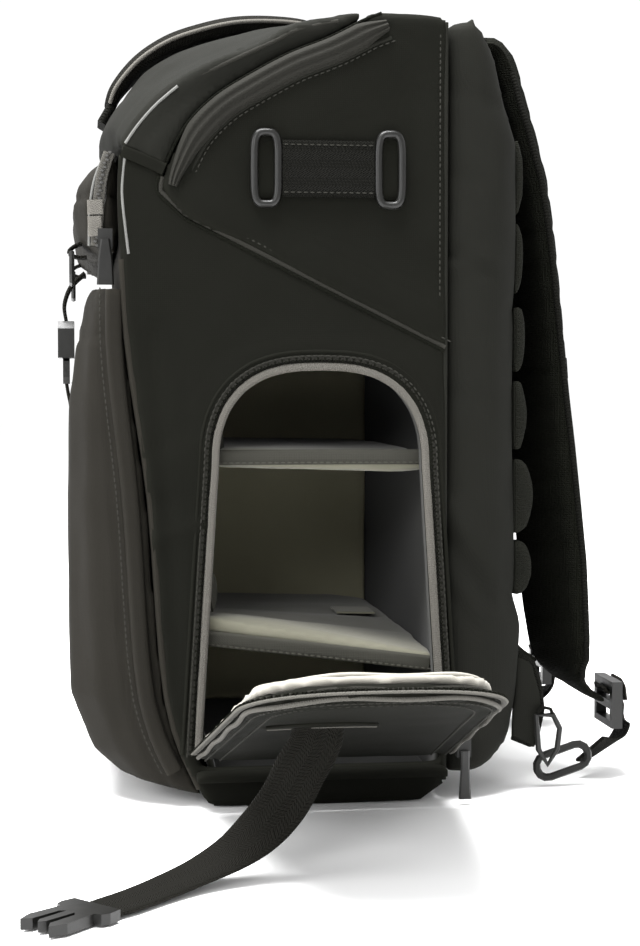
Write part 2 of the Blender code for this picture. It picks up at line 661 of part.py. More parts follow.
def build_waist_strap():
    """Webbing from the slot in the door down to the ground, and the buckle on its end."""
    strip("waist_webbing", WAIST_ROUTE, WAIST_ACROSS, WAIST_WIDTH, 2.4, "webbing")
    end = Vector(WAIST_ROUTE[-1])
    along = (end - Vector(WAIST_ROUTE[-2])).normalized()
    across = Vector((-along.y, along.x, 0.0))
    plan = [(1.0, -14.5), (8, -15.5), (12, -14), (13, -10.5), (30, -12), (38, -9), (34, -5.5),
            (19, -5), (17, -2.5), (33, -2.2), (36, 0), (33, 2.2), (17, 2.5), (19, 5), (34, 5.5),
            (38, 9), (30, 12), (13, 10.5), (12, 14), (8, 15.5), (1.0, 14.5)]
    outline = [end + along * a + across * b for a, b in plan]
    prism("waist_buckle", [(p.x, p.y) for p in outline], 0.5, 5.5, "plastic", axis="Z")


# ---------------------------------------------------------------- assembly

def main():
    for old in list(bpy.data.objects):
        bpy.data.objects.remove(old, do_unlink=True)
    build_shell()
    build_dividers()
    build_door()
    build_lid()
    build_pockets()
    build_front_hardware()
    build_harness()
    for side, label in ((1, "right"), (-1, "left")):
        build_side(side, label)
        build_lash(side, label)
        build_strap(side, label)
        build_corner(side, label)
    build_waist_strap()


main()
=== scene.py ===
"""Looks of the camera backpack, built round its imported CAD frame.

Points are written in millimetres in the row frame and become metres where meshes are made.
"""
import json
import math

import bmesh
import bpy
import numpy as np
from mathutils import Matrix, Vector, noise


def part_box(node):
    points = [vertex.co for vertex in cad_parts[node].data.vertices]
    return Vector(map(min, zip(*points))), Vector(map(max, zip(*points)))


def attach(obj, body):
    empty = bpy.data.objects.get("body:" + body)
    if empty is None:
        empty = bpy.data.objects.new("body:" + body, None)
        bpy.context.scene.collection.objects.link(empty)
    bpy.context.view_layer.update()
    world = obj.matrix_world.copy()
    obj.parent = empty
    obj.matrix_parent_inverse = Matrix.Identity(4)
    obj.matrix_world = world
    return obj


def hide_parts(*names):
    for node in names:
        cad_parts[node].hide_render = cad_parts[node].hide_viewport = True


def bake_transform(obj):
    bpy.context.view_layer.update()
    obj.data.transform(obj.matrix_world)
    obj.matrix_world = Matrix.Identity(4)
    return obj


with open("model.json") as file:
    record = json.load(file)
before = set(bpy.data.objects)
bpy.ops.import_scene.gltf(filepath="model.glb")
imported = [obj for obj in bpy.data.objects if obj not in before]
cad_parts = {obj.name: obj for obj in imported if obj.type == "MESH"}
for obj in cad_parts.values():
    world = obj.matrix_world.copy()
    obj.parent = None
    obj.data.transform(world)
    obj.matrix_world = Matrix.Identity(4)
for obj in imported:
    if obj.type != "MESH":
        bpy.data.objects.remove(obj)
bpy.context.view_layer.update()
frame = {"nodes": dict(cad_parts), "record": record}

MM = 0.001
NODES = frame["nodes"]
BODY_OF = {n: b for b, members in frame["record"]["behaviour"]["bodies"].items() for n in members}
SIDES = ((1, "right"), (-1, "left"))
ARCH_POINTS = 112


# ---------------------------------------------------------------- lines

def spline(points, steps=4):
    """Points of a smooth curve through the given ones, in any number of dimensions."""
    p = np.array(points, float)
    p = np.vstack([p[:1], p, p[-1:]])
    out = []
    for i in range(1, len(p) - 2):
        a, b, c, d = p[i - 1], p[i], p[i + 1], p[i + 2]
        for k in range(steps):
            t = k / steps
            out.append(0.5 * (2 * b + (c - a) * t + (2 * a - 5 * b + 4 * c - d) * t * t
                              + (3 * b - a - 3 * c + d) * t ** 3))
    return np.vstack(out + [p[-1]])


def resampled(points, count):
    """The line again with so many points, all the same distance apart."""
    p = np.array(points, float)
    along = np.concatenate([[0], np.cumsum(np.linalg.norm(np.diff(p, axis=0), axis=1))])
    at = np.linspace(0, along[-1], count)
    return np.stack([np.interp(at, along, p[:, k]) for k in range(p.shape[1])], axis=1)


def evenly(points, step):
    """The line again with points about step apart."""
    length = np.linalg.norm(np.diff(np.array(points, float), axis=0), axis=1).sum()
    return resampled(points, max(2, int(round(length / step)) + 1))


def line_y(line, z):
    """Y of a (Y, Z) line that rises in Z, at a height."""
    line = np.array(line)
    return np.interp(z, line[:, 1], line[:, 0])


def shifted(line, distance):
    """A (Y, Z) line moved sideways, to its right when the distance is positive."""
    p = np.array(line, float)
    t = np.gradient(p, axis=0)
    t /= np.linalg.norm(t, axis=1)[:, None]
    return p + np.stack([t[:, 1], -t[:, 0]], axis=1) * distance


def at_x(x, line):
    return [(x, y, z) for y, z in line]


def arch(half_low, half_high, foot, shoulder, top, steps=24):
    """The arched outline of the side opening in (Y, Z), right foot to left foot."""
    out = [(half_low, foot), (half_low + (half_high - half_low) * 0.5, (foot + shoulder) / 2)]
    for k in range(steps + 1):
        angle = math.pi * k / steps
        reach = math.copysign(abs(math.cos(angle)) ** 0.75, math.cos(angle))
        out.append((half_high * reach, shoulder + (top - shoulder) * math.sin(angle) ** 0.85))
    out += [(-out[1][0], out[1][1]), (-half_low, foot)]
    return resampled(out, ARCH_POINTS)


def gap_to(points, line):
    """How far each 2-D point is from an open line."""
    line = np.array(line, float)
    best = np.full(len(points), 1e9)
    for a, b in zip(line, line[1:]):
        d = b - a
        t = np.clip(((points - a) @ d) / max(d @ d, 1e-9), 0, 1)
        best = np.minimum(best, np.linalg.norm(points - a - t[:, None] * d, axis=1))
    return best


FRONT = spline([(-60, 0), (-69, 10), (-87, 61), (-96, 172), (-108, 259), (-112, 340), (-110.5, 366)])
TOP = spline([(-110.6, 363.5), (-106, 372), (-99, 381.5), (-83, 397), (-57.5, 411), (-27, 425.5),
              (-11, 433), (32, 441), (70, 438)])
WELT = spline([(-89, 341), (-86, 352), (-75, 374), (-59, 391), (-39, 404), (-17, 416), (5, 425),
               (24, 435)])
KNEE, REAR_SEAM, REAR_SEAM_Z = (-75.0, 328.0), 70.0, 256.0
LASH_Z, BUCKLE_Y, WAIST_WIDTH, STRAP_X, HOOK_X = 353.5, -141.2, 25.0, 75.0, 82.0
FOOT, ARCH_TOP, ARCH_LOW, ARCH_HIGH, SHOULDER = 22.0, 245.0, 69.0, 59.0, 190.0
HINGE, TURN = (157.0, 24.0), math.radians(72.0)


def opening(grow, foot=FOOT + 8.0):
    """The opening's outline grown by a margin, with its feet at a height."""
    return arch(ARCH_LOW + grow, ARCH_HIGH + grow, foot, SHOULDER, ARCH_TOP + grow)


def door_world(points):
    """Points drawn on the closed door, turned to where the open door is."""
    p = np.array(points, float).reshape(-1, 3)
    dx, dz = p[:, 0] - HINGE[0], p[:, 2] - HINGE[1]
    c, s = math.cos(TURN), math.sin(TURN)
    return np.stack([HINGE[0] + dx * c + dz * s, p[:, 1], HINGE[1] - dx * s + dz * c], axis=1)


# ---------------------------------------------------------------- materials

def node_math(tree, operation, a, b=None):
    """A Math node on sockets or numbers."""
    made = tree.nodes.new("ShaderNodeMath")
    made.operation = operation
    for socket, value in zip(made.inputs, (a, b)):
        if isinstance(value, (int, float)):
            socket.default_value = value
        elif value is not None:
            tree.links.new(value, socket)
    return made.outputs[0]


def sine_of(tree, value, pitch):
    """A sine along a position in metres, its pitch in millimetres."""
    return node_math(tree, "SINE", node_math(tree, "MULTIPLY_ADD", value, 2 * math.pi / (pitch * MM)))


def weave_height(tree, pitch):
    """A plain weave in space: crossing threads on any plane."""
    place = tree.nodes.new("ShaderNodeTexCoord")
    split = tree.nodes.new("ShaderNodeSeparateXYZ")
    tree.links.new(place.outputs["Object"], split.inputs[0])
    x, y, z = (sine_of(tree, split.outputs[k], pitch) for k in range(3))
    pairs = [node_math(tree, "MULTIPLY", a, b) for a, b in ((x, y), (y, z), (z, x))]
    return node_math(tree, "MAXIMUM", node_math(tree, "MAXIMUM", pairs[0], pairs[1]), pairs[2])


def rib_height(tree, pitch):
    """Ribs and slanted yarns of webbing, from the strap's own UV in metres."""
    place = tree.nodes.new("ShaderNodeUVMap")
    place.uv_map = "strap"
    split = tree.nodes.new("ShaderNodeSeparateXYZ")
    tree.links.new(place.outputs[0], split.inputs[0])
    along, across = split.outputs[0], split.outputs[1]
    slant = node_math(tree, "ADD", along, node_math(tree, "PINGPONG", across, 2.5 * pitch * MM))
    return node_math(tree, "MULTIPLY", sine_of(tree, slant, pitch), sine_of(tree, across, pitch * 1.7))


def noise_value(tree, scale, detail=3.0):
    place = tree.nodes.new("ShaderNodeTexCoord")
    made = tree.nodes.new("ShaderNodeTexNoise")
    made.inputs["Scale"].default_value = scale
    made.inputs["Detail"].default_value = detail
    tree.links.new(place.outputs["Object"], made.inputs["Vector"])
    return made.outputs["Fac"]


def mixed(tree, share, low, high):
    made = tree.nodes.new("ShaderNodeMix")
    made.data_type = "RGBA"
    tree.links.new(share, made.inputs[0])
    for socket, colour in ((made.inputs[6], low), (made.inputs[7], high)):
        if isinstance(colour, tuple):
            socket.default_value = (*colour, 1.0)
        else:
            tree.links.new(colour, socket)
    return made.outputs[2]


def spread_of(tree, value, low, high):
    made = tree.nodes.new("ShaderNodeMapRange")
    made.inputs["From Min"].default_value = low
    made.inputs["From Max"].default_value = high
    tree.links.new(value, made.inputs["Value"])
    return made.outputs[0]


def new_shader(name):
    """A new material, its node tree and its shader."""
    made = bpy.data.materials.new(name)
    made.use_nodes = True
    return made, made.node_tree, made.node_tree.nodes["Principled BSDF"]


def tinted(colour, factor):
    """A colour made darker or lighter, never past 0.9."""
    return tuple(min(c * factor, 0.9) for c in colour)


def worn(tree, base, colour, low, high, wear):
    """The base colour, rubbed to another where the surface turns outwards."""
    geometry = tree.nodes.new("ShaderNodeNewGeometry")
    edge = spread_of(tree, geometry.outputs["Pointiness"], low, high)
    return mixed(tree, node_math(tree, "MULTIPLY", edge, wear), base, colour)


def surface(tree, shader, base, rough, scale, spread):
    """Base colour, and a roughness that varies about its middle."""
    tree.links.new(base, shader.inputs["Base Color"])
    value = node_math(tree, "MULTIPLY_ADD", noise_value(tree, scale), spread)
    value.node.inputs[2].default_value = rough - spread / 2
    tree.links.new(value, shader.inputs["Roughness"])


def relieved(tree, shader, height, strength, distance):
    """Bump from a height, its distance in millimetres."""
    bump = tree.nodes.new("ShaderNodeBump")
    bump.inputs["Strength"].default_value = strength
    bump.inputs["Distance"].default_value = distance * MM
    tree.links.new(height, bump.inputs["Height"])
    tree.links.new(bump.outputs[0], shader.inputs["Normal"])


def cloth_material(name, colour, pitch=1.1, depth=0.22, rough=0.82, gloss=0.16, patches=0.22,
                   wear=0.5, sheen=0.0, ribs=False, fuzz=0.0):
    """Woven, knitted or napped cloth: thread relief, uneven dye, rubbed edges."""
    made, tree, shader = new_shader(name)
    shader.inputs["Specular IOR Level"].default_value = gloss
    shader.inputs["Sheen Weight"].default_value = sheen
    shader.inputs["Sheen Roughness"].default_value = 0.5
    threads = rib_height(tree, pitch) if ribs else weave_height(tree, pitch)
    base = mixed(tree, noise_value(tree, 14.0, 5.0), tinted(colour, 1 - patches),
                 tinted(colour, 1 + patches))
    thread_share = spread_of(tree, threads, -1.0, 1.0)
    base = mixed(tree, node_math(tree, "MULTIPLY", thread_share, 0.35), base, tinted(colour, 1.6))
    base = worn(tree, base, tinted(colour, 2.4), 0.52, 0.62, wear)
    relief = threads
    if fuzz:
        fibres = node_math(tree, "MULTIPLY", noise_value(tree, 900.0, 2.0), fuzz)
        relief = node_math(tree, "ADD", relief, fibres)
    surface(tree, shader, base, rough, 40.0, 0.14)
    relieved(tree, shader, relief, depth, 0.6)
    return made


def hard_material(name, colour, rough, gloss=0.5, grain=0.12, scratch=60.0):
    """Moulded plastic or coated metal: fine grain, uneven gloss, rubbed corners."""
    made, tree, shader = new_shader(name)
    shader.inputs["Specular IOR Level"].default_value = gloss
    base = mixed(tree, noise_value(tree, scratch, 4.0), tinted(colour, 0.8), tinted(colour, 1.2))
    base = worn(tree, base, tinted(colour, 1.8), 0.53, 0.66, 0.25)
    surface(tree, shader, base, rough, 120.0, 0.2)
    relieved(tree, shader, noise_value(tree, 1400.0, 2.0), grain, 0.3)
    return made


NAP = dict(pitch=0.9, depth=0.12, rough=0.95, gloss=0.05, fuzz=1.2)
LOOK = {
    "shell": cloth_material("nylon_body", (0.0040, 0.0041, 0.0030), gloss=0.05),
    "gusset": cloth_material("nylon_gusset", (0.0060, 0.0061, 0.0048), pitch=1.1, gloss=0.08),
    "pocket": cloth_material("nylon_pocket", (0.0080, 0.0072, 0.0055), gloss=0.10, pitch=1.3),
    "welt": cloth_material("nylon_welt", (0.0105, 0.0102, 0.0085), gloss=0.10, pitch=1.6, depth=0.4),
    "mesh": cloth_material("spacer_mesh", (0.0026, 0.0028, 0.0018), pitch=2.6, depth=0.9, gloss=0.05),
    "pad": cloth_material("pad_mesh", (0.0052, 0.0054, 0.0040), pitch=2.4, depth=0.8, gloss=0.07),
    # Painted light and shade: the same nap lining in a lit copy for the far wall and a near-black shaded
    # copy for the floor, front wall, shelf, frame sheet and opening liner.
    "lining": cloth_material("nap_lining", (0.30, 0.285, 0.200), sheen=0.15, **NAP),
    "lining_door": cloth_material("nap_lining_door", (0.040, 0.039, 0.031), **NAP),
    "lining_painted_shade": cloth_material("nap_lining_dark", (0.0055, 0.0056, 0.0040), sheen=0.12, **NAP),
    "divider": cloth_material("nap_divider", (0.115, 0.112, 0.086), sheen=0.2, **NAP),
    "edge": cloth_material("divider_edge_tape", (0.026, 0.0255, 0.021), pitch=1.4, depth=0.3),
    "binding": cloth_material("grosgrain_tape", (0.075, 0.071, 0.063), pitch=1.3, depth=0.5,
                              ribs=True, wear=0.3),
    "zip": cloth_material("zipper_tape", (0.045, 0.043, 0.038), pitch=1.2, depth=0.5, ribs=True),
    "lip": cloth_material("lip_lining", (0.22, 0.21, 0.185), pitch=1.0, depth=0.15, rough=0.9,
                          gloss=0.08, sheen=0.1, fuzz=0.8, wear=0.2),
    "webbing": cloth_material("webbing_black", (0.0030, 0.0030, 0.0022), pitch=1.9, depth=0.9,
                              ribs=True, gloss=0.07, wear=0.3),
    # Painted light: a lighter copy of the black webbing, for the straps that catch the light, not a brown
    # dye.
    "webbing_painted_lit": cloth_material("webbing_lit", (0.0055, 0.0052, 0.0040), pitch=1.9, depth=0.9,
                                    ribs=True, gloss=0.08, wear=0.3),
    "thread": cloth_material("thread", (0.010, 0.0098, 0.008), pitch=0.5, depth=0.3),
    "silver": hard_material("reflective_piping", (0.10, 0.10, 0.095), 0.6, gloss=0.2),
    "plastic": hard_material("moulded_plastic", (0.006, 0.006, 0.0055), 0.32, gloss=0.28),
    "buckle": hard_material("moulded_buckle", (0.0055, 0.0055, 0.0050), 0.36, gloss=0.3),
    "teeth": hard_material("zipper_teeth", (0.012, 0.0115, 0.010), 0.40),
    "metal": hard_material("coated_metal", (0.010, 0.010, 0.0095), 0.40, gloss=0.2),
    "steel": hard_material("plated_steel", (0.010, 0.010, 0.0095), 0.42, gloss=0.12),
}


# ---------------------------------------------------------------- mesh making

def piece(name, verts, faces, look, body=None, uv=None, smooth=True):
    """A mesh object from points in millimetres, riding on a body."""
    mesh = bpy.data.meshes.new(name)
    mesh.from_pydata([tuple(v) for v in np.array(verts, float) * MM], [], [tuple(f) for f in faces])
    mesh.validate()
    build = bmesh.new()
    build.from_mesh(mesh)
    bmesh.ops.recalc_face_normals(build, faces=build.faces)
    build.to_mesh(mesh)
    build.free()
    if uv is not None:
        layer = mesh.uv_layers.new(name="strap")
        for loop in mesh.loops:
            layer.data[loop.index].uv = uv[loop.vertex_index]
    mesh.materials.append(LOOK[look])
    made = bpy.data.objects.new(name, mesh)
    bpy.context.scene.collection.objects.link(made)
    if smooth:
        mesh.shade_smooth()
        mesh.set_sharp_from_angle(angle=math.radians(50))
    if body:
        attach(made, body)
    return made


def round_section(radius, sides=10):
    turn = np.linspace(0, 2 * math.pi, sides, endpoint=False)
    return np.stack([np.cos(turn), np.sin(turn)], axis=1) * radius


def flat_section(width, thick, corner=0.8, rows=6):
    """A flat rounded section whose faces have several columns."""
    half, deep = width / 2, thick / 2
    corner = min(corner, deep, half)
    us = np.linspace(-half + corner, half - corner, rows)
    top = [(u, deep) for u in us[::-1]]
    low = [(u, -deep) for u in us]
    return np.array([(half, deep - corner)] + top + [(-half, deep - corner), (-half, corner - deep)]
                    + low + [(half, corner - deep)])


def pad_section(width, thick, crown=0.75, columns=12):
    """A padded section: full in the middle, thin at both edges."""
    us = np.linspace(-1, 1, columns)
    rise = (1 - np.abs(us) ** 3.2) ** 0.5 * crown + (1 - crown) * (np.abs(us) < 0.999)
    top = [(u * width / 2, r * thick / 2) for u, r in zip(us, rise)]
    low = [(u * width / 2, -r * thick / 2) for u, r in zip(us[::-1], rise[::-1])]
    return np.array(top + low[1:-1])


def frames_of(route, up, closed=False):
    """Along, side and up directions at each point of a route."""
    p = np.array(route, float)
    if closed:
        t = np.roll(p, -1, axis=0) - np.roll(p, 1, axis=0)
    else:
        t = np.gradient(p, axis=0)
    t /= np.linalg.norm(t, axis=1)[:, None]
    u = np.broadcast_to(np.array(up, float), p.shape)
    u = u - t * (u * t).sum(1)[:, None]
    u /= np.linalg.norm(u, axis=1)[:, None]
    return p, t, np.cross(t, u), u


def sweep_mesh(route, up, section, closed=False):
    """Points, faces and UVs of a section swept along a route."""
    p, _, s, u = frames_of(route, up, closed)
    section = np.array(section, float)
    if section.ndim == 2:
        section = np.broadcast_to(section, (len(p), *section.shape))
    verts = p[:, None] + s[:, None] * section[..., :1] + u[:, None] * section[..., 1:]
    rows, columns = section.shape[:2]
    faces = []
    for i in range(rows if closed else rows - 1):
        a, b = i * columns, ((i + 1) % rows) * columns
        faces += [(a + k, a + (k + 1) % columns, b + (k + 1) % columns, b + k)
                  for k in range(columns)]
    if not closed:
        faces += [tuple(range(columns)), tuple(range((rows - 1) * columns, rows * columns))]
    along = np.concatenate([[0], np.cumsum(np.linalg.norm(np.diff(p, axis=0), axis=1))])
    uv = [(along[i] * MM, section[i, k, 0] * MM) for i in range(rows) for k in range(columns)]
    return verts.reshape(-1, 3), faces, uv


def sweep(name, route, up, section, look, body=None, closed=False):
    verts, faces, uv = sweep_mesh(route, up, section, closed)
    return piece(name, verts, faces, look, body, uv)


def tube(name, route, radius, look, body="root", up=(1, 0.013, 0.017), closed=False):
    return sweep(name, route, up, round_section(radius, 8), look, body, closed)


def band(name, route, up, size, look, body="root"):
    """A flat rounded strip: width, thickness and corner radius."""
    return sweep(name, route, up, flat_section(*size), look, body)


def many(name, parts, look, body):
    """Several small closed meshes in one piece."""
    verts, faces, uv = [], [], []
    for v, f, *rest in parts:
        base = len(verts)
        verts += [tuple(p) for p in v]
        faces += [tuple(i + base for i in face) for face in f]
        uv += rest[0] if rest else [(p[0] * MM, p[2] * MM) for p in v]
    return piece(name, verts, faces, look, body, uv)


def brick(centre, along, up, size):
    """A small block with pinched ends, for a stitch or a zipper tooth."""
    a = np.array(along, float) / np.linalg.norm(along)
    u = np.array(up, float) - a * np.dot(up, a)
    u /= np.linalg.norm(u)
    s = np.cross(a, u)
    l, w, h = (v / 2 for v in size)
    verts = []
    for end, k in ((-1.0, 0.45), (-0.45, 1.0), (0.45, 1.0), (1.0, 0.45)):
        for x, y in ((-1, -1), (1, -1), (1, 1), (-1, 1)):
            verts.append(np.array(centre) + a * end * l + s * x * w * k + u * y * h * k)
    faces = [(0, 1, 2, 3), (12, 13, 14, 15)]
    for r in range(3):
        faces += [(r * 4 + k, r * 4 + (k + 1) % 4, r * 4 + 4 + (k + 1) % 4, r * 4 + 4 + k)
                  for k in range(4)]
    return verts, faces


def stitches(name, route, up, body="root", pitch=3.6, look="thread", lift=0.35):
    """A row of lock stitches along a route."""
    p, t, _, u = frames_of(evenly(route, pitch), up)
    parts = [brick(p[i] + u[i] * lift, t[i], u[i], (pitch * 0.68, 0.75, 0.6)) for i in range(len(p))]
    return many(name, parts, look, body)


def teeth(name, route, up, body, pitch=2.2, wide=3.4, look="teeth"):
    """A zipper chain along a route."""
    p, _, s, u = frames_of(evenly(route, pitch), up)
    parts = [brick(p[i] + s[i] * (0.5 if i % 2 else -0.5), s[i], u[i], (wide, pitch * 0.55, 1.5))
             for i in range(len(p))]
    return many(name, parts, look, body)


# ---------------------------------------------------------------- soft pieces from CAD solids

def applied(obj):
    bpy.context.view_layer.update()
    graph = bpy.context.evaluated_depsgraph_get()
    return bpy.data.meshes.new_from_object(obj.evaluated_get(graph))


def coords(mesh, what="co"):
    out = np.zeros(len(mesh.vertices) * 3)
    mesh.vertices.foreach_get(what, out)
    return out.reshape(-1, 3)


def set_coords(mesh, values):
    mesh.vertices.foreach_set("co", values.ravel())
    mesh.update()


def noise_at(co, size, seed=0.0, stretch=(1, 1, 1)):
    """Smooth noise from -1 to 1 at points in millimetres."""
    scaled = co / size * np.array(stretch)
    return np.array([noise.noise(Vector((p[0] + seed, p[1] - seed, p[2] + 2 * seed))) for p in scaled])


def inflate(mesh, pressure, cap, frames=20):
    """Blender's cloth under pressure, with each point's travel capped, in millimetres."""
    obj = bpy.data.objects.new("inflating", mesh)
    bpy.context.scene.collection.objects.link(obj)
    cloth = obj.modifiers.new("Cloth", "CLOTH")
    cloth.settings.quality = 4
    cloth.settings.mass = 0.3
    cloth.settings.use_pressure = True
    cloth.settings.uniform_pressure_force = pressure
    cloth.settings.effector_weights.gravity = 0.0
    cloth.settings.bending_stiffness = 0.4
    cloth.point_cache.frame_start = 1
    cloth.point_cache.frame_end = frames
    scene = bpy.context.scene
    for number in range(1, frames + 1):
        scene.frame_set(number)
    blown = applied(obj)
    before, after = coords(mesh), coords(blown)
    step = after - before
    length = np.linalg.norm(step, axis=1)
    limit = cap * MM
    step *= (np.minimum(length, limit) / np.maximum(length, 1e-9))[:, None]
    set_coords(blown, before + step)
    scene.frame_set(1)
    bpy.data.objects.remove(obj)
    return blown


def soften(node, look, voxel=3.0, relax=5, sculpt=None, pressure=0.0, cap=4.0, shrink=0.0):
    """A soft piece in the space of a CAD solid: remeshed, relaxed, blown up and sculpted."""
    temp = bpy.data.objects.new("temp", NODES[node].data.copy())
    bpy.context.scene.collection.objects.link(temp)
    cell = temp.modifiers.new("Cells", "REMESH")
    cell.mode = "VOXEL"
    cell.voxel_size = voxel * MM
    ease = temp.modifiers.new("Ease", "SMOOTH")
    ease.factor = 0.5
    ease.iterations = relax
    mesh = applied(temp)
    bpy.data.objects.remove(temp)
    if shrink:
        set_coords(mesh, coords(mesh) - coords(mesh, "normal") * shrink * MM)
    if pressure:
        mesh = inflate(mesh, pressure, cap)
    if sculpt:
        co, normal = coords(mesh) / MM, coords(mesh, "normal")
        move = sculpt(co, normal)
        if move.ndim == 1:
            move = normal * move[:, None]
        set_coords(mesh, (co + move) * MM)
    mesh.materials.clear()
    mesh.materials.append(LOOK[look])
    mesh.shade_smooth()
    made = bpy.data.objects.new(node + "_soft", mesh)
    bpy.context.scene.collection.objects.link(made)
    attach(made, BODY_OF[node])
    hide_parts(node)
    return made


def bell(distance, width):
    """1 in the middle, falling smoothly to 0 over a few widths."""
    return np.exp(-(distance / width) ** 2)


def crease(co, a, b, width, depth):
    """A groove, or a ridge when the depth is negative, along a segment in (Y, Z)."""
    near = gap_to(co[:, 1:], [a, b])
    return -depth * bell(near, width)


# ---------------------------------------------------------------- camera, floor, light

def studio():
    scene = bpy.context.scene
    scene.view_settings.view_transform = "Standard"
    lens = bpy.data.cameras.new("photo_view")
    lens.lens = 68.5
    lens.sensor_width = 36.0
    view = bpy.data.objects.new("photo_view", lens)
    view.location = (1.1357, -0.1312, 0.2314)
    view.rotation_euler = (math.radians(87.4), 0.0, math.radians(82.5))
    scene.collection.objects.link(view)
    scene.camera = view

    world = bpy.data.worlds.new("studio")
    world.use_nodes = True
    world.node_tree.nodes["Background"].inputs["Color"].default_value = (1.0, 1.0, 1.0, 1.0)
    world.node_tree.nodes["Background"].inputs["Strength"].default_value = 1.06
    scene.world = world

    paint = bpy.data.materials.new("pale_floor")
    paint.use_nodes = True
    tree = paint.node_tree
    shader = tree.nodes["Principled BSDF"]
    shader.inputs["Roughness"].default_value = 0.9
    shader.inputs["Specular IOR Level"].default_value = 0.1
    tree.links.new(mixed(tree, noise_value(tree, 3.0), (0.93, 0.93, 0.93), (0.96, 0.96, 0.96)),
                   shader.inputs["Base Color"])
    mesh = bpy.data.meshes.new("floor")
    reach = 12.0
    mesh.from_pydata([(-reach, -reach, -0.0006), (reach, -reach, -0.0006), (reach, reach, -0.0006),
                      (-reach, reach, -0.0006)], [], [(0, 1, 2, 3)])
    mesh.materials.append(paint)
    floor = bpy.data.objects.new("floor", mesh)
    scene.collection.objects.link(floor)

    for name, place, target, size, power in (
            ("top_softbox", (0.25, -0.35, 1.9), (0.0, 0.0, 0.3), 1.2, 150.0),
            ("front_softbox", (0.7, -1.7, 0.7), (0.0, -0.05, 0.25), 1.0, 16.0),
            ("opening_softbox", (1.8, -0.7, 0.95), (0.0, 0.0, 0.15), 0.7, 12.0),
            ("rear_softbox", (-0.3, 1.8, 1.2), (0.0, 0.1, 0.25), 1.2, 8.0)):
        light = bpy.data.lights.new(name, "AREA")
        light.size = size
        light.energy = power
        holder = bpy.data.objects.new(name, light)
        holder.location = place
        aim = Vector(target) - Vector(place)
        holder.rotation_euler = aim.to_track_quat("-Z", "Y").to_euler()
        scene.collection.objects.link(holder)


# ---------------------------------------------------------------- waist strap

def waist_strap():
    """The free webbing: out of the slot in the door, down to the ground, to its buckle."""
    hidden = door_world([(149.0, -20.0, 196.0), (149.2, -20.5, 189.0), (150.2, -21.4, 183.0),
                         (152.4, -22.0, 177.6)])
    free = [(299.2, -22.2, 71.2), (298.4, -23, 66.5), (297.0, -25, 61), (295, -30, 52), (293, -34.5, 42),
            (292, -40, 33), (292, -48.5, 23.5), (294.5, -61, 14), (300.5, -76.5, 7.2),
            (311, -92, 3.6), (322.5, -104.5, 2.2), (334, -115.5, 2.0), (343.5, -125.5, 2.0),
            (349, -131.2, 2.3), (353, -135.3, 2.6)]
    across = [(0, 1, 0)] * 5 + [
        (.05, 1, -.1), (.1, .95, -.2), (.2, .92, -.3), (.3, .85, -.35), (.42, .78, -.42),
        (.6, .6, -.5), (.8, .5, -.32), (.85, .5, -.12), (.8, .6, -.03), (.72, .69, 0),
        (.68, .73, 0), (.68, .73, 0), (.68, .73, 0), (.68, .73, 0)]
    route = [tuple(p) for p in hidden] + [tuple(map(float, p)) for p in free]
    fine = spline(np.hstack([np.array(route), np.array(across, float)]), 4)
    centre, side = fine[:, :3], fine[:, 3:]
    along = np.gradient(centre, axis=0)
    up = np.cross(side, along)
    section = []
    for i in range(len(centre)):
        edge = 1.0 - 0.3 * max(0.0, (i - len(centre) + 12) / 12)
        section.append(flat_section(WAIST_WIDTH * edge, 2.0, 0.7, 8))
    verts, faces, uv = sweep_mesh(centre, up, np.array(section))
    strap = piece("waist_strap", verts, faces, "webbing_painted_lit", None, uv)
    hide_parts("waist_webbing")
    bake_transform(strap)


# ---------------------------------------------------------------- body panels

def fabric_wave(co, size, height, seed):
    """Shallow unevenness of stretched cloth."""
    return noise_at(co, size, seed) * height + noise_at(co, size / 3, seed + 7) * height * 0.3


def side_sculpt(side):
    def shape(co, normal):
        out = normal[:, 0] * side > 0.4
        move = fabric_wave(co, 80, 0.8, 2.0 + side)
        ring = gap_to(co[:, 1:], opening(9.0)) if side > 0 else np.full(len(co), 99.0)
        move += 0.9 * bell(ring, 9.0)
        front = co[:, 1] - line_y(FRONT, co[:, 2])
        move += crease(co, (-78, 40), (-86, 170), 5, 0.9) + crease(co, (-86, 170), (-93, 262), 5, 0.9)
        move += crease(co, (-92, 150), (-66, 158), 3.5, -0.8)
        move += crease(co, (-94, 200), (-70, 212), 6, 0.5)
        move += 0.5 * bell(front, 6)
        return np.where(out, move, 0.0)
    return shape


def upper_sculpt(co, normal):
    out = np.abs(normal[:, 0]) > 0.4
    move = fabric_wave(co, 60, 0.9, 5.0)
    welt = gap_to(co[:, 1:], WELT)
    move += 1.6 * bell(welt - 26, 20)
    move += crease(co, (46, 425), (52, 330), 9, 0.8)
    move += crease(co, (-70, 335), (60, 268), 16, -1.4)
    return np.where(out, move, 0.0)


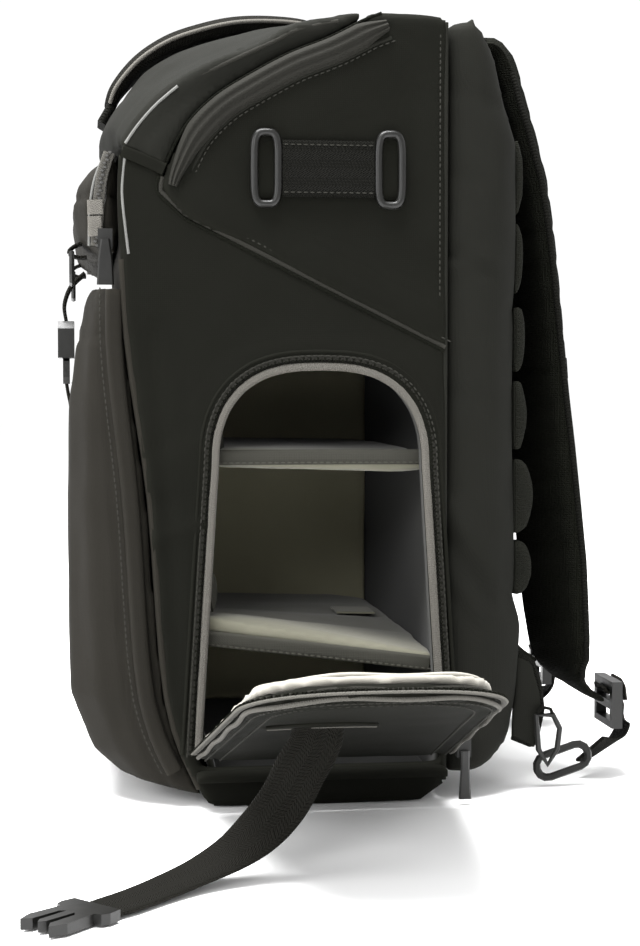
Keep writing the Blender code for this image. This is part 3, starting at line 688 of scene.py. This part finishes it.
def seams(side, label):
    """Piping and stitch lines where the side's panels meet, and a dark tube of painted shade beside the
    diagonal seam.
    """
    x = side * 143.6
    out = (side, 0, 0)
    diagonal = [(REAR_SEAM, REAR_SEAM_Z), KNEE] + [tuple(p) for p in WELT if p[1] < 352]
    tube(f"seam_diagonal_{label}", evenly(at_x(x + side * 0.6, diagonal), 4), 1.5, "welt")
    # A dark tube just beside the diagonal piping: painted shade for the valley of the seam.
    painted_shade_line = shifted(np.array(diagonal), -2.2)
    tube(f"seam_painted_shade_{label}", evenly(at_x(x + side * 0.9, painted_shade_line), 4), 1.1, "mesh")
    lower = shifted(np.array(diagonal[:2]), 4.0)
    stitches(f"stitch_diagonal_{label}", at_x(side * 145.3, lower[::-1]), out)
    gusset = [(REAR_SEAM, 12), (REAR_SEAM, 140), (REAR_SEAM, 260), (REAR_SEAM, 436)]
    tube(f"seam_rear_{label}", evenly(at_x(x - side * 0.4, gusset), 5), 1.5, "gusset")
    stitches(f"stitch_rear_{label}", at_x(side * 145.2, [(66.5, 264), (66.5, 428)]), out)
    front = [tuple(p) for p in FRONT if 6 < p[1] < 306]
    tube(f"seam_front_{label}", evenly(at_x(side * 142.6, shifted(front, 1.5)), 4), 2.2, "pocket")
    hem = [(-60, 2), (-20, 1.6), (20, 1.6), (56, 2), (69, 11)]
    tube(f"seam_base_{label}", evenly(at_x(side * 141.5, hem), 5), 1.7, "shell")
    top = [tuple(p) for p in TOP if p[0] > 26]
    tube(f"seam_top_{label}", evenly(at_x(side * 141.8, shifted(top, 2.0)), 4), 1.6, "gusset")


def silver_lines(side, label):
    """Reflective piping down the front corner, on the lid and below it."""
    low = spline([(-109.0, 364), (-110.8, 350), (-111.2, 335), (-108, 306)])
    tube(f"reflective_low_{label}", evenly(at_x(side * 144.9, shifted(low, -2.0)), 3), 0.8, "silver")
    high = spline([(-79.0, 397.4), (-91.0, 387.0), (-101.0, 375.5), (-107.5, 366.0)])
    tube(f"reflective_lid_{label}", evenly(at_x(side * 145.4, high), 3), 0.8, "silver", "top_lid")


def welt_band(side, label):
    """The ribbed padded band that covers the lid's zipper."""
    ridge = evenly([tuple(p) for p in WELT][2:] + [(34.0, 439.0)], 4)
    mid = shifted(ridge, 6.5)
    x = side * 147.4
    count = len(mid)
    section = []
    for i in range(count):
        share = min(1.0, 0.35 + 3.0 * i / count, 0.45 + 0.14 * (count - 1 - i))
        us = np.linspace(-1, 1, 17)
        ribs = 0.86 + 0.14 * np.cos(us * math.pi * 3.0)
        rise = 4.6 * (1 - np.abs(us) ** 2.6) ** 0.5 * ribs
        top = [(u * 7.2 * share, r - 1.0) for u, r in zip(us, rise)]
        section.append(top + [(6.0 * share, -2.0), (0, -2.0), (-6.0 * share, -2.0)])
    ribbed = sweep(f"welt_band_{label}", at_x(x, mid), (side, 0, 0), np.array(section), "welt", "root")
    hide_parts(f"zip_welt_{label}")
    flap = [(side * 145.5, -109.5, 362.0), (side * 145.8, -98, 357.4), (side * 145.6, -86.5, 352.4)]
    band(f"lid_foot_flap_{label}", spline(flap, 3), (side, 0, 0), (6.5, 1.0, 0.4), "shell")
    lid_edge = shifted(ridge, -1.0)
    tube(f"lid_zip_shadow_{label}", at_x(side * 144.3, lid_edge), 1.0, "mesh")
    edge = shifted(ridge, 13.6)
    tube(f"welt_piping_{label}", at_x(side * 145.6, edge), 1.3, "gusset")
    stitches(f"stitch_welt_{label}", at_x(side * 146.4, shifted(ridge, 15.8)), (side, 0, 0))


def panels():
    for side, label in SIDES:
        soften(f"side_panel_{label}", "shell", 3.0, 4, side_sculpt(side))
        soften(f"upper_side_{label}", "shell", 3.0, 4, upper_sculpt)
        seams(side, label)
        silver_lines(side, label)
        welt_band(side, label)
    soften("base_panel", "shell", 3.0, 3, lambda co, n: np.where(n[:, 2] > -0.5, 0.6, 0.0) * 0.5)
    soften("front_panel", "pocket", 3.5, 4, lambda co, n: fabric_wave(co, 70, 0.8, 3.0))
    soften("top_yoke", "gusset", 3.0, 3, lambda co, n: fabric_wave(co, 60, 0.6, 4.0))
    # The far wall takes the lit copy of the nap lining; the floor, front wall, shelf and frame sheet take
    # the near-black shaded copy: painted light and shade.
    for node, look, voxel in (("insert_floor", "lining_painted_shade", 2.5), ("insert_far_wall", "lining", 3.5),
                              ("insert_front_wall", "lining_painted_shade", 2.5),
                              ("compartment_shelf", "lining_painted_shade", 2.5)):
        soften(node, look, voxel, 3, lambda co, n: fabric_wave(co, 45, 0.5, 6.0))
    soften("frame_sheet", "lining_painted_shade", 2.2, 2, None)


def opening_trim():
    """Binding, zipper chain and its tape round the side opening, on the body."""
    for number, (grow, width, thick, x, look) in enumerate((
            (0.4, 5.0, 3.0, 144.4, "binding"), (5.2, 3.0, 1.2, 145.5, "welt"))):
        trim = sweep(f"opening_trim_{number}", at_x(x, opening(grow)), (1, 0, 0),
                     flat_section(width, thick, 1.4 if number == 0 else 0.6), look, "root")
        if number == 1:
            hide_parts("zip_tape")
    teeth("opening_teeth", at_x(145.7, opening(4.2)), (1, 0, 0), "root", wide=1.6, pitch=2.0,
          look="mesh")
    band("opening_chain_tape", at_x(145.2, opening(3.9)), (1, 0, 0), (2.4, 1.0, 0.4), "webbing")
    stitches("stitch_opening", at_x(146.0, opening(6.2)), (1, 0, 0))
    edge = opening(8.6)
    tube("opening_piping", at_x(145.2, edge), 1.2, "shell")
    liner = []
    for x, grow in ((136.9, -0.6), (143.0, -0.4)):
        liner.append([(x, y, z) for y, z in opening(grow)])
    both = np.array(liner[::-1])
    thick = np.array([[(x, y * 0.97, z) for x, y, z in row] for row in liner])
    rows = np.vstack([both, thick])
    columns = rows.shape[1]
    faces = []
    for r in range(4):
        a, b = r * columns, ((r + 1) % 4) * columns
        faces += [(a + k, a + k + 1, b + k + 1, b + k) for k in range(columns - 1)]
    for k in (0, columns - 1):
        faces.append(tuple(r * columns + k for r in range(4)))
    # The liner takes the near-black shaded copy of the lining: painted shade inside the opening.
    piece("opening_liner", rows.reshape(-1, 3), faces, "lining_painted_shade", "root",
          uv=[(p[1] * MM, p[2] * MM) for p in rows.reshape(-1, 3)])


# ---------------------------------------------------------------- door

def door_sculpt(co, normal):
    """The door's padded face: quilt line inside the edge, slot, soft folds."""
    back = np.stack([(co[:, 0] - HINGE[0]) * math.cos(TURN) - (co[:, 2] - HINGE[1]) * math.sin(TURN),
                     co[:, 1],
                     (co[:, 0] - HINGE[0]) * math.sin(TURN) + (co[:, 2] - HINGE[1]) * math.cos(TURN)
                     + HINGE[1]], axis=1)
    flat = back[:, 1:]
    rim = gap_to(flat, opening(-8, 34))
    move = -1.1 * bell(rim, 2.6)
    slot = gap_to(flat, [(-43, 171), (-28, 176), (-12, 177), (2, 174)])
    outer = back[:, 0] > -6
    move += np.where(outer, -2.6 * bell(slot, 3.0), 0.0)
    move += fabric_wave(co, 50, 0.8, 9.0)
    return move


def door_pieces():
    soften("side_door", "shell", 2.4, 3, door_sculpt, pressure=3.0, cap=1.5, shrink=0.4)
    soften("door_lip", "lip", 2.2, 3, lambda co, n: fabric_wave(co, 30, 0.6, 11.0))
    soften("door_hinge_fold", "shell", 2.0, 3, None)
    panel = arch(ARCH_LOW - 11, ARCH_HIGH - 11, 40, SHOULDER, ARCH_TOP - 12)
    fan = at_x(142.8, panel)
    rows = [fan, [(144.6, y, z) for _, y, z in fan]]
    count = len(fan)
    verts = np.vstack([rows[0], rows[1], [(141.6, 0.0, 130.0)], [(144.6, 0.0, 130.0)]])
    faces = []
    for k in range(count):
        j = (k + 1) % count
        faces += [(k, j, 2 * count), (count + j, count + k, 2 * count + 1), (k, count + k, count + j, j)]
    piece("door_lining", door_world(verts), faces, "lining_door", "side_door")
    for number, (grow, x, radius, look) in enumerate((
            (1.0, 151.8, 1.2, "zip"), (1.4, 147.6, 1.0, "welt"), (-4.8, 140.4, 1.0, "lip"))):
        line = opening(grow, 32)
        wavy = [(x + 0.6 * math.sin(i * 0.5), y, z) for i, (y, z) in enumerate(line)]
        tube(f"door_piping_{number}", door_world(wavy), radius, look, "side_door", up=(0, 0.1, 1))
    line = opening(3.4, 33)
    normal = door_world([(1, 0, 0)])[0] - door_world([(0, 0, 0)])[0]
    band("door_zip_tape", door_world(at_x(149.4, line)), normal, (3.6, 1.2, 0.6), "zip",
         "side_door")
    teeth("door_teeth", door_world(at_x(148.2, line)), normal, "side_door", wide=2.0,
          look="mesh")
    for number, grow in enumerate((-2.6, -10.5)):
        line = opening(grow, 34)
        stitches(f"stitch_door_{number}", door_world(at_x(152.9, line)), normal,
                 "side_door")
    flap = spline([(-46, 172), (-40, 175), (-28, 179.5), (-12, 180.5), (0, 178), (6, 174.5)], 5)
    count = len(flap)
    section = []
    for i in range(count):
        share = math.sin(math.pi * (0.06 + 0.88 * i / (count - 1)))
        section.append(flat_section(1.5 + 7.5 * share, 1.6, 0.5))
    sweep("slot_flap", door_world(at_x(154.0, flap)), normal, np.array(section),
          "shell", "side_door")
    tube("slot_piping", door_world([(154.4, y, z - 4.4 * math.sin(math.pi * i / (count - 1)))
                                    for i, (y, z) in enumerate(flap)]), 0.8, "zip", "side_door",
         up=(0, 0.1, 1))


# ---------------------------------------------------------------- inside

def inside():
    def bowed(seed):
        return lambda co, n: fabric_wave(co, 50, 0.7, seed)
    for node, seed, corners in (
            ("upper_divider", 12.0, ((-64, 199), (63, 199))),
            ("lower_divider", 13.0, ((-64, 108), (63, 91)))):
        soften(node, "divider", 2.4, 3, bowed(seed), pressure=2.0, cap=1.5, shrink=0.4)
        (y0, z0), (y1, z1) = corners
        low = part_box(node)[0].z / MM
        if node == "upper_divider":
            z0 = z1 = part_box(node)[1].z / MM
        else:
            z0, z1 = low + 26.0, low + 9.6
        line = evenly([(134.0, y0, z0 - 4.6), (134.4, (y0 + y1) / 2, (z0 + z1) / 2 - 4.4),
                       (134.0, y1, z1 - 4.6)], 4)
        sweep(node + "_edge", line, (1, 0, 0), pad_section(8.6, 3.4, 0.8), "edge", node)
        stitches(node + "_stitch", [(x + 1.8, y, z - 3.0) for x, y, z in line], (1, 0, 0), node,
                 look="edge")
    for number, (z_low, z_high, y) in enumerate(((196, 205, -56.5), (112, 124, -60.5))):
        rows = []
        for i, z in enumerate(np.linspace(z_low, z_high, 7)):
            curl = 4.0 * math.sin(i / 6 * math.pi)
            rows.append((128.0 - curl, y + 0.5 * curl, z))
        node = ("upper_divider", "lower_divider")[number]
        band(f"hook_tab_{number}", rows, (0.3, 1, 0), (14, 1.4, 0.5), "edge", node)
    patch = [(-6, 0), (22, 0), (22, 24), (-6, 24)]
    verts = [(x, 26 + y, 93.4 - y * 0.03) for x, y in patch]
    verts += [(x, y, z - 1.2) for x, y, z in verts]
    faces = [(0, 1, 2, 3), (4, 5, 6, 7)] + [(k, (k + 1) % 4, 4 + (k + 1) % 4, 4 + k) for k in range(4)]
    piece("divider_patch", verts, faces, "divider", "lower_divider", smooth=False)


# ---------------------------------------------------------------- lid and handle

def lid_sculpt(co, normal):
    move = fabric_wave(co, 65, 1.1, 15.0)
    flank = np.abs(normal[:, 0]) > 0.5
    move += np.where(flank, 0.9 * bell(gap_to(co[:, 1:], WELT) - 16, 12), 0.0)
    rim = gap_to(co[:, 1:], TOP)
    crown = np.clip(1 - (co[:, 0] / 120) ** 2, 0, 1) * np.clip((-co[:, 1] - 5) / 25, 0, 1)
    move += 5.0 * crown * np.clip((co[:, 2] - 405) / 12, 0, 1) * (normal[:, 2] > 0.2)
    return move + np.where(flank, -1.0 * bell(rim - 10, 2.2), 0.0)


def lid_pieces():
    soften("top_lid", "gusset", 3.2, 5, lid_sculpt, pressure=2.5, cap=1.6, shrink=0.4)
    crown = [tuple(p) for p in TOP if p[0] < 20]
    for side, label in SIDES:
        line = shifted(crown, 2.6)
        tube(f"lid_piping_{label}", evenly(at_x(side * 143.2, line), 4), 1.4, "welt", "top_lid")
    control = [(-113.5, 408), (-109, 418), (-96, 432.5), (-79, 443.5), (-60, 450.5), (-38, 456),
               (-14, 458), (8, 457), (20, 451)]
    arc = spline(control, 6)
    count = len(arc)
    widths = [34.0 + 28.0 * math.sin(math.pi * i / (count - 1)) for i in range(count)]
    thick = [7.0 + 5.0 * math.sin(math.pi * i / (count - 1)) for i in range(count)]
    section = np.array([pad_section(w, t, 0.7) for w, t in zip(widths, thick)])
    handle = sweep("grab_handle", at_x(0.0, arc), (0, 0, 1), section, "webbing_painted_lit", "top_handle")
    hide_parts("top_handle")
    for side in (1, -1):
        edge = [(side * (w / 2 - 0.4), y, z) for (y, z), w in zip(arc, widths)]
        tube(f"handle_piping_{'right' if side > 0 else 'left'}", edge, 1.3, "binding", "top_handle")
    tabs = []
    for (y, z), tilt in (((-119.0, 396.0), (0, 0.50, 0.86)), ((19.5, 444.0), (0, -0.5, 0.86))):
        tabs.append(sweep_mesh([(0, y, z), tuple(np.array((0, y, z)) + np.array(tilt) * 12)],
                               (0, -0.8, 0.5), flat_section(34, 5.0, 1.4)))
    many("handle_tabs", tabs, "webbing", "top_lid")


# ---------------------------------------------------------------- front

def pocket_sculpt(co, normal):
    """Hanging vertical folds, and a rolled hem at the open top."""
    out = normal[:, 1] < 0.5
    move = noise_at(co, 34, 21.0, (1.0, 1.0, 0.28)) * 1.8 + noise_at(co, 12, 22.0, (1, 1, 0.3)) * 0.5
    move -= 1.2 * bell(co[:, 2] - 262, 2.5)
    move += 1.2 * bell(co[:, 2] - 282, 7)
    flank = np.abs(co[:, 0]) > 126
    seam = gap_to(np.stack([co[:, 1] - line_y(FRONT, co[:, 2]), co[:, 2]], axis=1),
                  [(-16, 8), (-20, 60), (-18, 180), (-11, 270)])
    move += np.where(flank, -1.3 * bell(seam, 2.2), 0.0)
    return np.where(out, move, 0.0)


def pocket_side(side, z, depth, out):
    """A point on a front pocket's flank: so deep before the front line, so far out."""
    return (side * out, float(line_y(FRONT, z)) - depth, z)


def front_pieces():
    soften("lower_pocket", "pocket", 3.2, 4, pocket_sculpt)
    soften("upper_pocket", "pocket", 2.8, 4,
           lambda co, n: fabric_wave(co, 40, 1.0, 23.0) - 1.2 * bell(co[:, 2] - 340, 2),
           pressure=2.0, cap=1.5, shrink=0.4)
    for side, label in SIDES:
        roll = spline([(4.0, 287), (6.5, 250), (9.0, 190), (10, 120), (10, 60), (8, 20)], 5)
        line = [pocket_side(side, z, d, 140.5) for d, z in roll]
        sweep(f"pocket_roll_{label}", line, (side, 0, 0), pad_section(9.5, 7.0, 0.9), "pocket", "root")
        stitches(f"stitch_pocket_{label}",
                 [(side * 139.6, y - 7.5, z) for _, y, z in line], (side, -0.3, 0))
        for number, shift in enumerate((0.0, 8.0)):
            route = spline([(126.4, 3.0 + shift * 0.5, 363), (126.0, 6.0 + shift * 0.8, 347),
                            (125.5, 7.0 + shift, 330), (125.2, 8.0 + shift, 312)], 6)
            tube(f"pocket_reflective_{label}_{number}",
                 [pocket_side(side, z, d, x - 0.16 * max(0.0, d - 7)) for x, d, z in route], 0.9,
                 "silver")
        zipper = spline([(129.2, 5.0, 363), (128.8, 8.5, 347), (127.9, 10.5, 330), (127.4, 12, 312)], 6)
        line = [pocket_side(side, z, d, x) for x, d, z in zipper]
        band(f"pocket_zip_{label}", line, (side, -0.25, 0), (6.5, 1.2, 0.5), "zip")
        teeth(f"pocket_teeth_{label}", [(x + side * 0.8, y, z) for x, y, z in line],
              (side, -0.25, 0), "root", wide=2.4)
        for name, x, depth, width, heights in (("zip_tab", 129.0, 12.0, 9.0, (337, 333, 329)),
                                               ("zip_patch", 128.8, 12.5, 8.0, (328, 322, 317))):
            tab = [pocket_side(side, z, depth, x) for z in heights]
            band(f"{name}_{label}", tab, (side, -0.3, 0), (width, 1.4, 0.5), "binding")
        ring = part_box(f"front_ring_{label}")
        x, y, z = side * 88.0, ring[0].y / MM, ring[1].z / MM
        loop = [(x, y + 10, z + 5), (x, y + 3.5, z + 3), (x, y - 0.4, z - 0.8), (x, y + 4, z - 3.4),
                (x, y + 10, z - 3.6)]
        band(f"ring_tab_{label}", spline(loop, 4), (0, -0.3, 1), (15, 1.6, 0.5), "webbing_painted_lit")
    buckle_straps()


def buckle_straps():
    """Webbing through the closing buckle, its tail and the anchor on the pocket."""
    y = BUCKLE_Y
    upper = spline([(0, y + 11.6, 304.5), (0, y + 3, 296), (0, y - 1, 285), (0, y, 275.4)], 5)
    strap = band("closing_webbing", upper, (0, -1, 0.2), (24, 2.2, 0.8), "webbing_painted_lit",
                 "closing_strap")
    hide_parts("closing_strap")
    lower = spline([(0, y, 236.4), (0, y + 1.0, 230), (0, y + 2.5, 222), (0, y + 2.8, 214)], 5)
    band("tongue_webbing", lower, (0, -1, 0), (23, 2.0, 0.8), "webbing_painted_lit", "buckle_tongue")
    lower = spline([(0, y + 4.0, 237.0), (0, y + 4.8, 226), (0, y + 5.2, 214)], 5)
    band("anchor_webbing", lower, (0, -1, 0), (24, 1.6, 0.6), "webbing")


def lash_points():
    for side, label in SIDES:
        x = side * 147.6
        route = spline([(x - side * 0.4, -33, LASH_Z), (x + side * 1.2, -29, LASH_Z),
                        (x + side * 0.8, -22, LASH_Z), (x + side * 0.9, 3.5, LASH_Z),
                        (x + side * 0.8, 29, LASH_Z), (x + side * 1.2, 36, LASH_Z),
                        (x - side * 0.4, 40, LASH_Z)], 5)
        inner = [p for p in route if -24.0 < p[1] < 31.0]
        strap = band(f"lash_band_{label}", inner, (side, 0, 0), (31, 2.2, 0.8, 10), "webbing")
        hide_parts(f"lash_webbing_{label}")
        for end, y in (("front", -31.0), ("rear", 38.0)):
            turn = np.linspace(0, 2 * math.pi, 36, endpoint=False)
            outline = [(side * 148.6, y + 6.6 * math.copysign(abs(math.cos(a)) ** 0.55, math.cos(a)),
                        LASH_Z + 19.6 * math.copysign(abs(math.sin(a)) ** 0.42, math.sin(a)))
                       for a in turn]
            ring = tube(f"lash_ring_{label}_{end}", outline, 2.3, "plastic", "root",
                        up=(side, 0.013, 0.017), closed=True)
            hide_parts(f"lash_loop_{label}_{end}")
            patch = [(side * x, y + dy, LASH_Z) for x, dy in ((145.4, -4.5), (145.5, 0), (145.4, 4.5))]
            band(f"lash_anchor_{label}_{end}", patch, (side, 0, 0), (33, 1.2, 0.5), "shell")
        for number, z in enumerate((340.5, 366.5)):
            stitches(f"stitch_lash_{label}_{number}", [(x + side * 1.5, -20, z), (x + side * 1.7, 27, z)],
                     (side, 0, 0))


# ---------------------------------------------------------------- harness

def harness_sculpt(co, normal):
    flank = np.abs(normal[:, 0]) > 0.3
    move = noise_at(co, 55, 31.0, (1, 1, 0.6)) * 1.4
    for a, b, width, depth in (
            ((72, 309), (94, 300), 3.0, 1.8), ((72, 303), (98, 306), 3.5, -1.6),
            ((72, 150), (96, 112), 4.0, 1.6), ((74, 168), (100, 128), 5.0, -1.4),
            ((72, 120), (90, 96), 3.5, 1.2), ((72, 402), (98, 392), 5.0, 0.8),
            ((72, 356), (92, 348), 4.0, 0.7), ((72, 232), (96, 224), 5.0, 0.7),
            ((74, 60), (100, 44), 5.0, 1.2)):
        move += np.where(flank, crease(co, a, b, width, depth), 0.0)
    move += np.where(flank, 2.0 * bell(co[:, 1] - 86, 14) - 0.8, 0.0)
    return move


def harness():
    soften("harness_panel", "gusset", 4.5, 5, harness_sculpt, pressure=3.0, cap=2.5, shrink=1.0)
    for number in range(1, 7):
        low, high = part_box(f"back_pad_{number}")
        middle = (low.z + high.z) / 2 / MM

        def puff(co, normal, middle=middle, half=(high.z - low.z) / 2 / MM):
            edge = np.abs(np.abs(co[:, 0]) - 126) < 12
            return noise_at(co, 30, 41.0 + middle) * 0.7 + np.where(edge, 0.6, 0.0)
        soften(f"back_pad_{number}", "pad", 3.2, 3, puff, pressure=3.0, cap=3.0, shrink=0.6)
    for side, label in SIDES:
        shoulder(side, label)
        lower_end(side, label)
        corner(side, label)


def strap_plan(side):
    control = [(102.5, 433), (111, 430), (119, 410), (131.5, 355), (137.5, 298), (141, 244),
               (144.5, 196), (149.5, 129), (153.5, 80), (160, 58), (177.5, 46)]
    bow = [0, 0, 0, -3, -6, -6, -3, 2, 5, 6, 6]
    widths = [58, 60, 62, 66, 66, 66, 66, 66, 62, 46, 30]
    thicks = [12, 14, 15, 15, 15, 15, 15, 15, 13, 8, 4]
    plan = spline([(STRAP_X + b, y, z, w, t) for (y, z), b, w, t in zip(control, bow, widths, thicks)], 2)
    plan = evenly(plan, 4.0)
    plan[:, 0] *= side
    return plan


def strap_up(plan, side):
    """The outward direction of the strap's face: it turns to the side along the free part."""
    tilt = np.interp(plan[:, 2], (50, 70, 129, 196, 244, 298, 355, 400),
                     (0.0, 0.34, 0.40, 0.36, 0.30, 0.22, 0.12, 0.0))
    across = np.stack([np.ones(len(plan)), side * tilt, np.zeros(len(plan))], axis=1)
    along = np.gradient(plan[:, :3], axis=0)
    up = np.cross(across, along)
    return up * np.where(up[:, 1:2] + up[:, 2:] < 0, -1.0, 1.0)


def shoulder(side, label):
    """The padded strap: quilted mesh, bound edges, webbing and keepers on its outside."""
    plan = strap_plan(side)
    route, widths, thicks = plan[:, :3], plan[:, 3], plan[:, 4]
    along = np.concatenate([[0], np.cumsum(np.linalg.norm(np.diff(route, axis=0), axis=1))])
    section = []
    for i in range(len(route)):
        quilt = 1.0 - 0.16 * math.exp(-((along[i] % 21.0 - 10.5) / 2.6) ** 2)
        section.append(pad_section(widths[i] - 1.5, (thicks[i] - 0.6) * quilt, 0.8, 14))
    up = strap_up(plan, side)
    verts, faces, uv = sweep_mesh(route, up, np.array(section))
    body = f"shoulder_strap_{label}"
    strap = piece(f"strap_pad_{label}", verts, faces, "mesh", None, uv)
    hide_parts(f"shoulder_strap_{label}")
    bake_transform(strap)
    p, _, s, u = frames_of(route, up)
    stop = len(p) - 14
    for edge, name in ((1, "a"), (-1, "b")):
        line = [p[i] + s[i] * edge * (widths[i] / 2 - 1.2) for i in range(6, stop + 8)]
        tube(f"strap_binding_{label}_{name}", line, 1.9, "webbing", body, up=(0, 1, 0.3))
    web = np.array([p[i] + u[i] * (thicks[i] / 2 - 0.2) for i in range(16, stop + 4)])
    band(f"strap_webbing_{label}", web, u[16:stop + 4], (25, 1.8, 0.6), "webbing", body)
    for number, height in enumerate((244.0, 138.0)):
        i = int(np.argmin(np.abs(p[:, 2] - height)))
        loop = [p[i] + s[i] * a + u[i] * (thicks[i] / 2 + b) for a, b in
                ((-26, -2.0), (-20, 1.2), (-12, 2.6), (0, 3.0), (12, 2.6), (20, 1.2), (26, -2.0))]
        band(f"strap_keeper_{label}_{number}", spline(loop, 4), u[i], (13, 1.6, 0.6), "webbing", body)
    yoke = at_x(side * STRAP_X, [(99.0, 437.0), (92.0, 440.4), (82.0, 440.6)])
    band(f"strap_root_{label}", spline(yoke, 4), (0, 0, 1), (58, 2.4, 0.9), "webbing")


def lower_end(side, label):
    """Webbing from the strap's end through the adjuster to the snap hook."""
    x = side * HOOK_X
    body = f"shoulder_strap_{label}"
    route = [(x, 191, 40), (x, 193.5, 30), (x + side * 4, 187, 20.5), (x + side * 12, 176, 17),
             (x + side * 20, 167, 18.5)]
    strap = band(f"hook_webbing_{label}", spline(route, 6), (0.2, 1, -1), (24, 2.2, 0.8), "webbing",
                 body)
    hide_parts(f"lower_webbing_{label}")
    folds = [
        [(x, 178.6, 53.5), (x, 180.8, 50.5), (x, 187.6, 50.0), (x, 189.4, 45.5), (x, 189.2, 38.0)],
        [(x - side * 2, 189.5, 58), (x - side * 2, 192.5, 52), (x - side * 1, 193.5, 44)],
    ]
    many(f"adjuster_folds_{label}",
         [sweep_mesh(spline(line, 4), (0, 1, 0.6), flat_section(22 - 3 * k, 1.8, 0.6))
          for k, line in enumerate(folds)], "webbing_painted_lit", body)


def corner(side, label):
    """The fabric wing at the harness's lower corner, with its bound edge."""
    soften(f"corner_wing_{label}", "gusset", 1.8, 2, lambda co, n: noise_at(co, 22, 51.0) * 0.6)
    outline = [(117, 79), (126.5, 74.5), (131, 60), (132.4, 46), (128, 25.5), (115, 31)]
    tube(f"wing_binding_{label}", evenly(at_x(side * 121, outline), 4), 2.0, "webbing")
    loop = at_x(side * 126, [(128.5, 45.5), (132, 48.6), (136.5, 47.5), (137.5, 44.8)])
    band(f"corner_tab_{label}", loop, (0, 0, 1), (5.0, 1.4, 0.5), "webbing")


# ---------------------------------------------------------------- hard parts kept from the CAD

def hard_parts():
    looks = {
        "door_slider": "metal", "pocket_slider": "metal", "door_pull": "plastic",
        "pocket_pull": "plastic", "buckle_socket": "buckle", "buckle_tongue": "buckle",
        "waist_buckle": "plastic", "front_ring_right": "metal", "front_ring_left": "metal",
        "snap_hook_right": "steel", "snap_hook_left": "steel", "corner_ring_right": "metal",
        "corner_ring_left": "metal", "strap_adjuster_right": "buckle",
        "strap_adjuster_left": "buckle",
    }
    for name, look in looks.items():
        node = NODES[name]
        node.data.materials.clear()
        node.data.materials.append(LOOK[look])
        if any(word in name for word in ("ring", "hook")):
            node.data.shade_smooth()
            node.data.set_sharp_from_angle(angle=math.radians(60))
        else:
            edge = node.modifiers.new("Edges", "BEVEL")
            edge.width = 0.0008
            edge.segments = 2
            edge.limit_method = "ANGLE"


# ---------------------------------------------------------------- assembly

def main():
    studio()
    waist_strap()
    panels()
    opening_trim()
    door_pieces()
    inside()
    lid_pieces()
    front_pieces()
    lash_points()
    harness()
    hard_parts()


main()
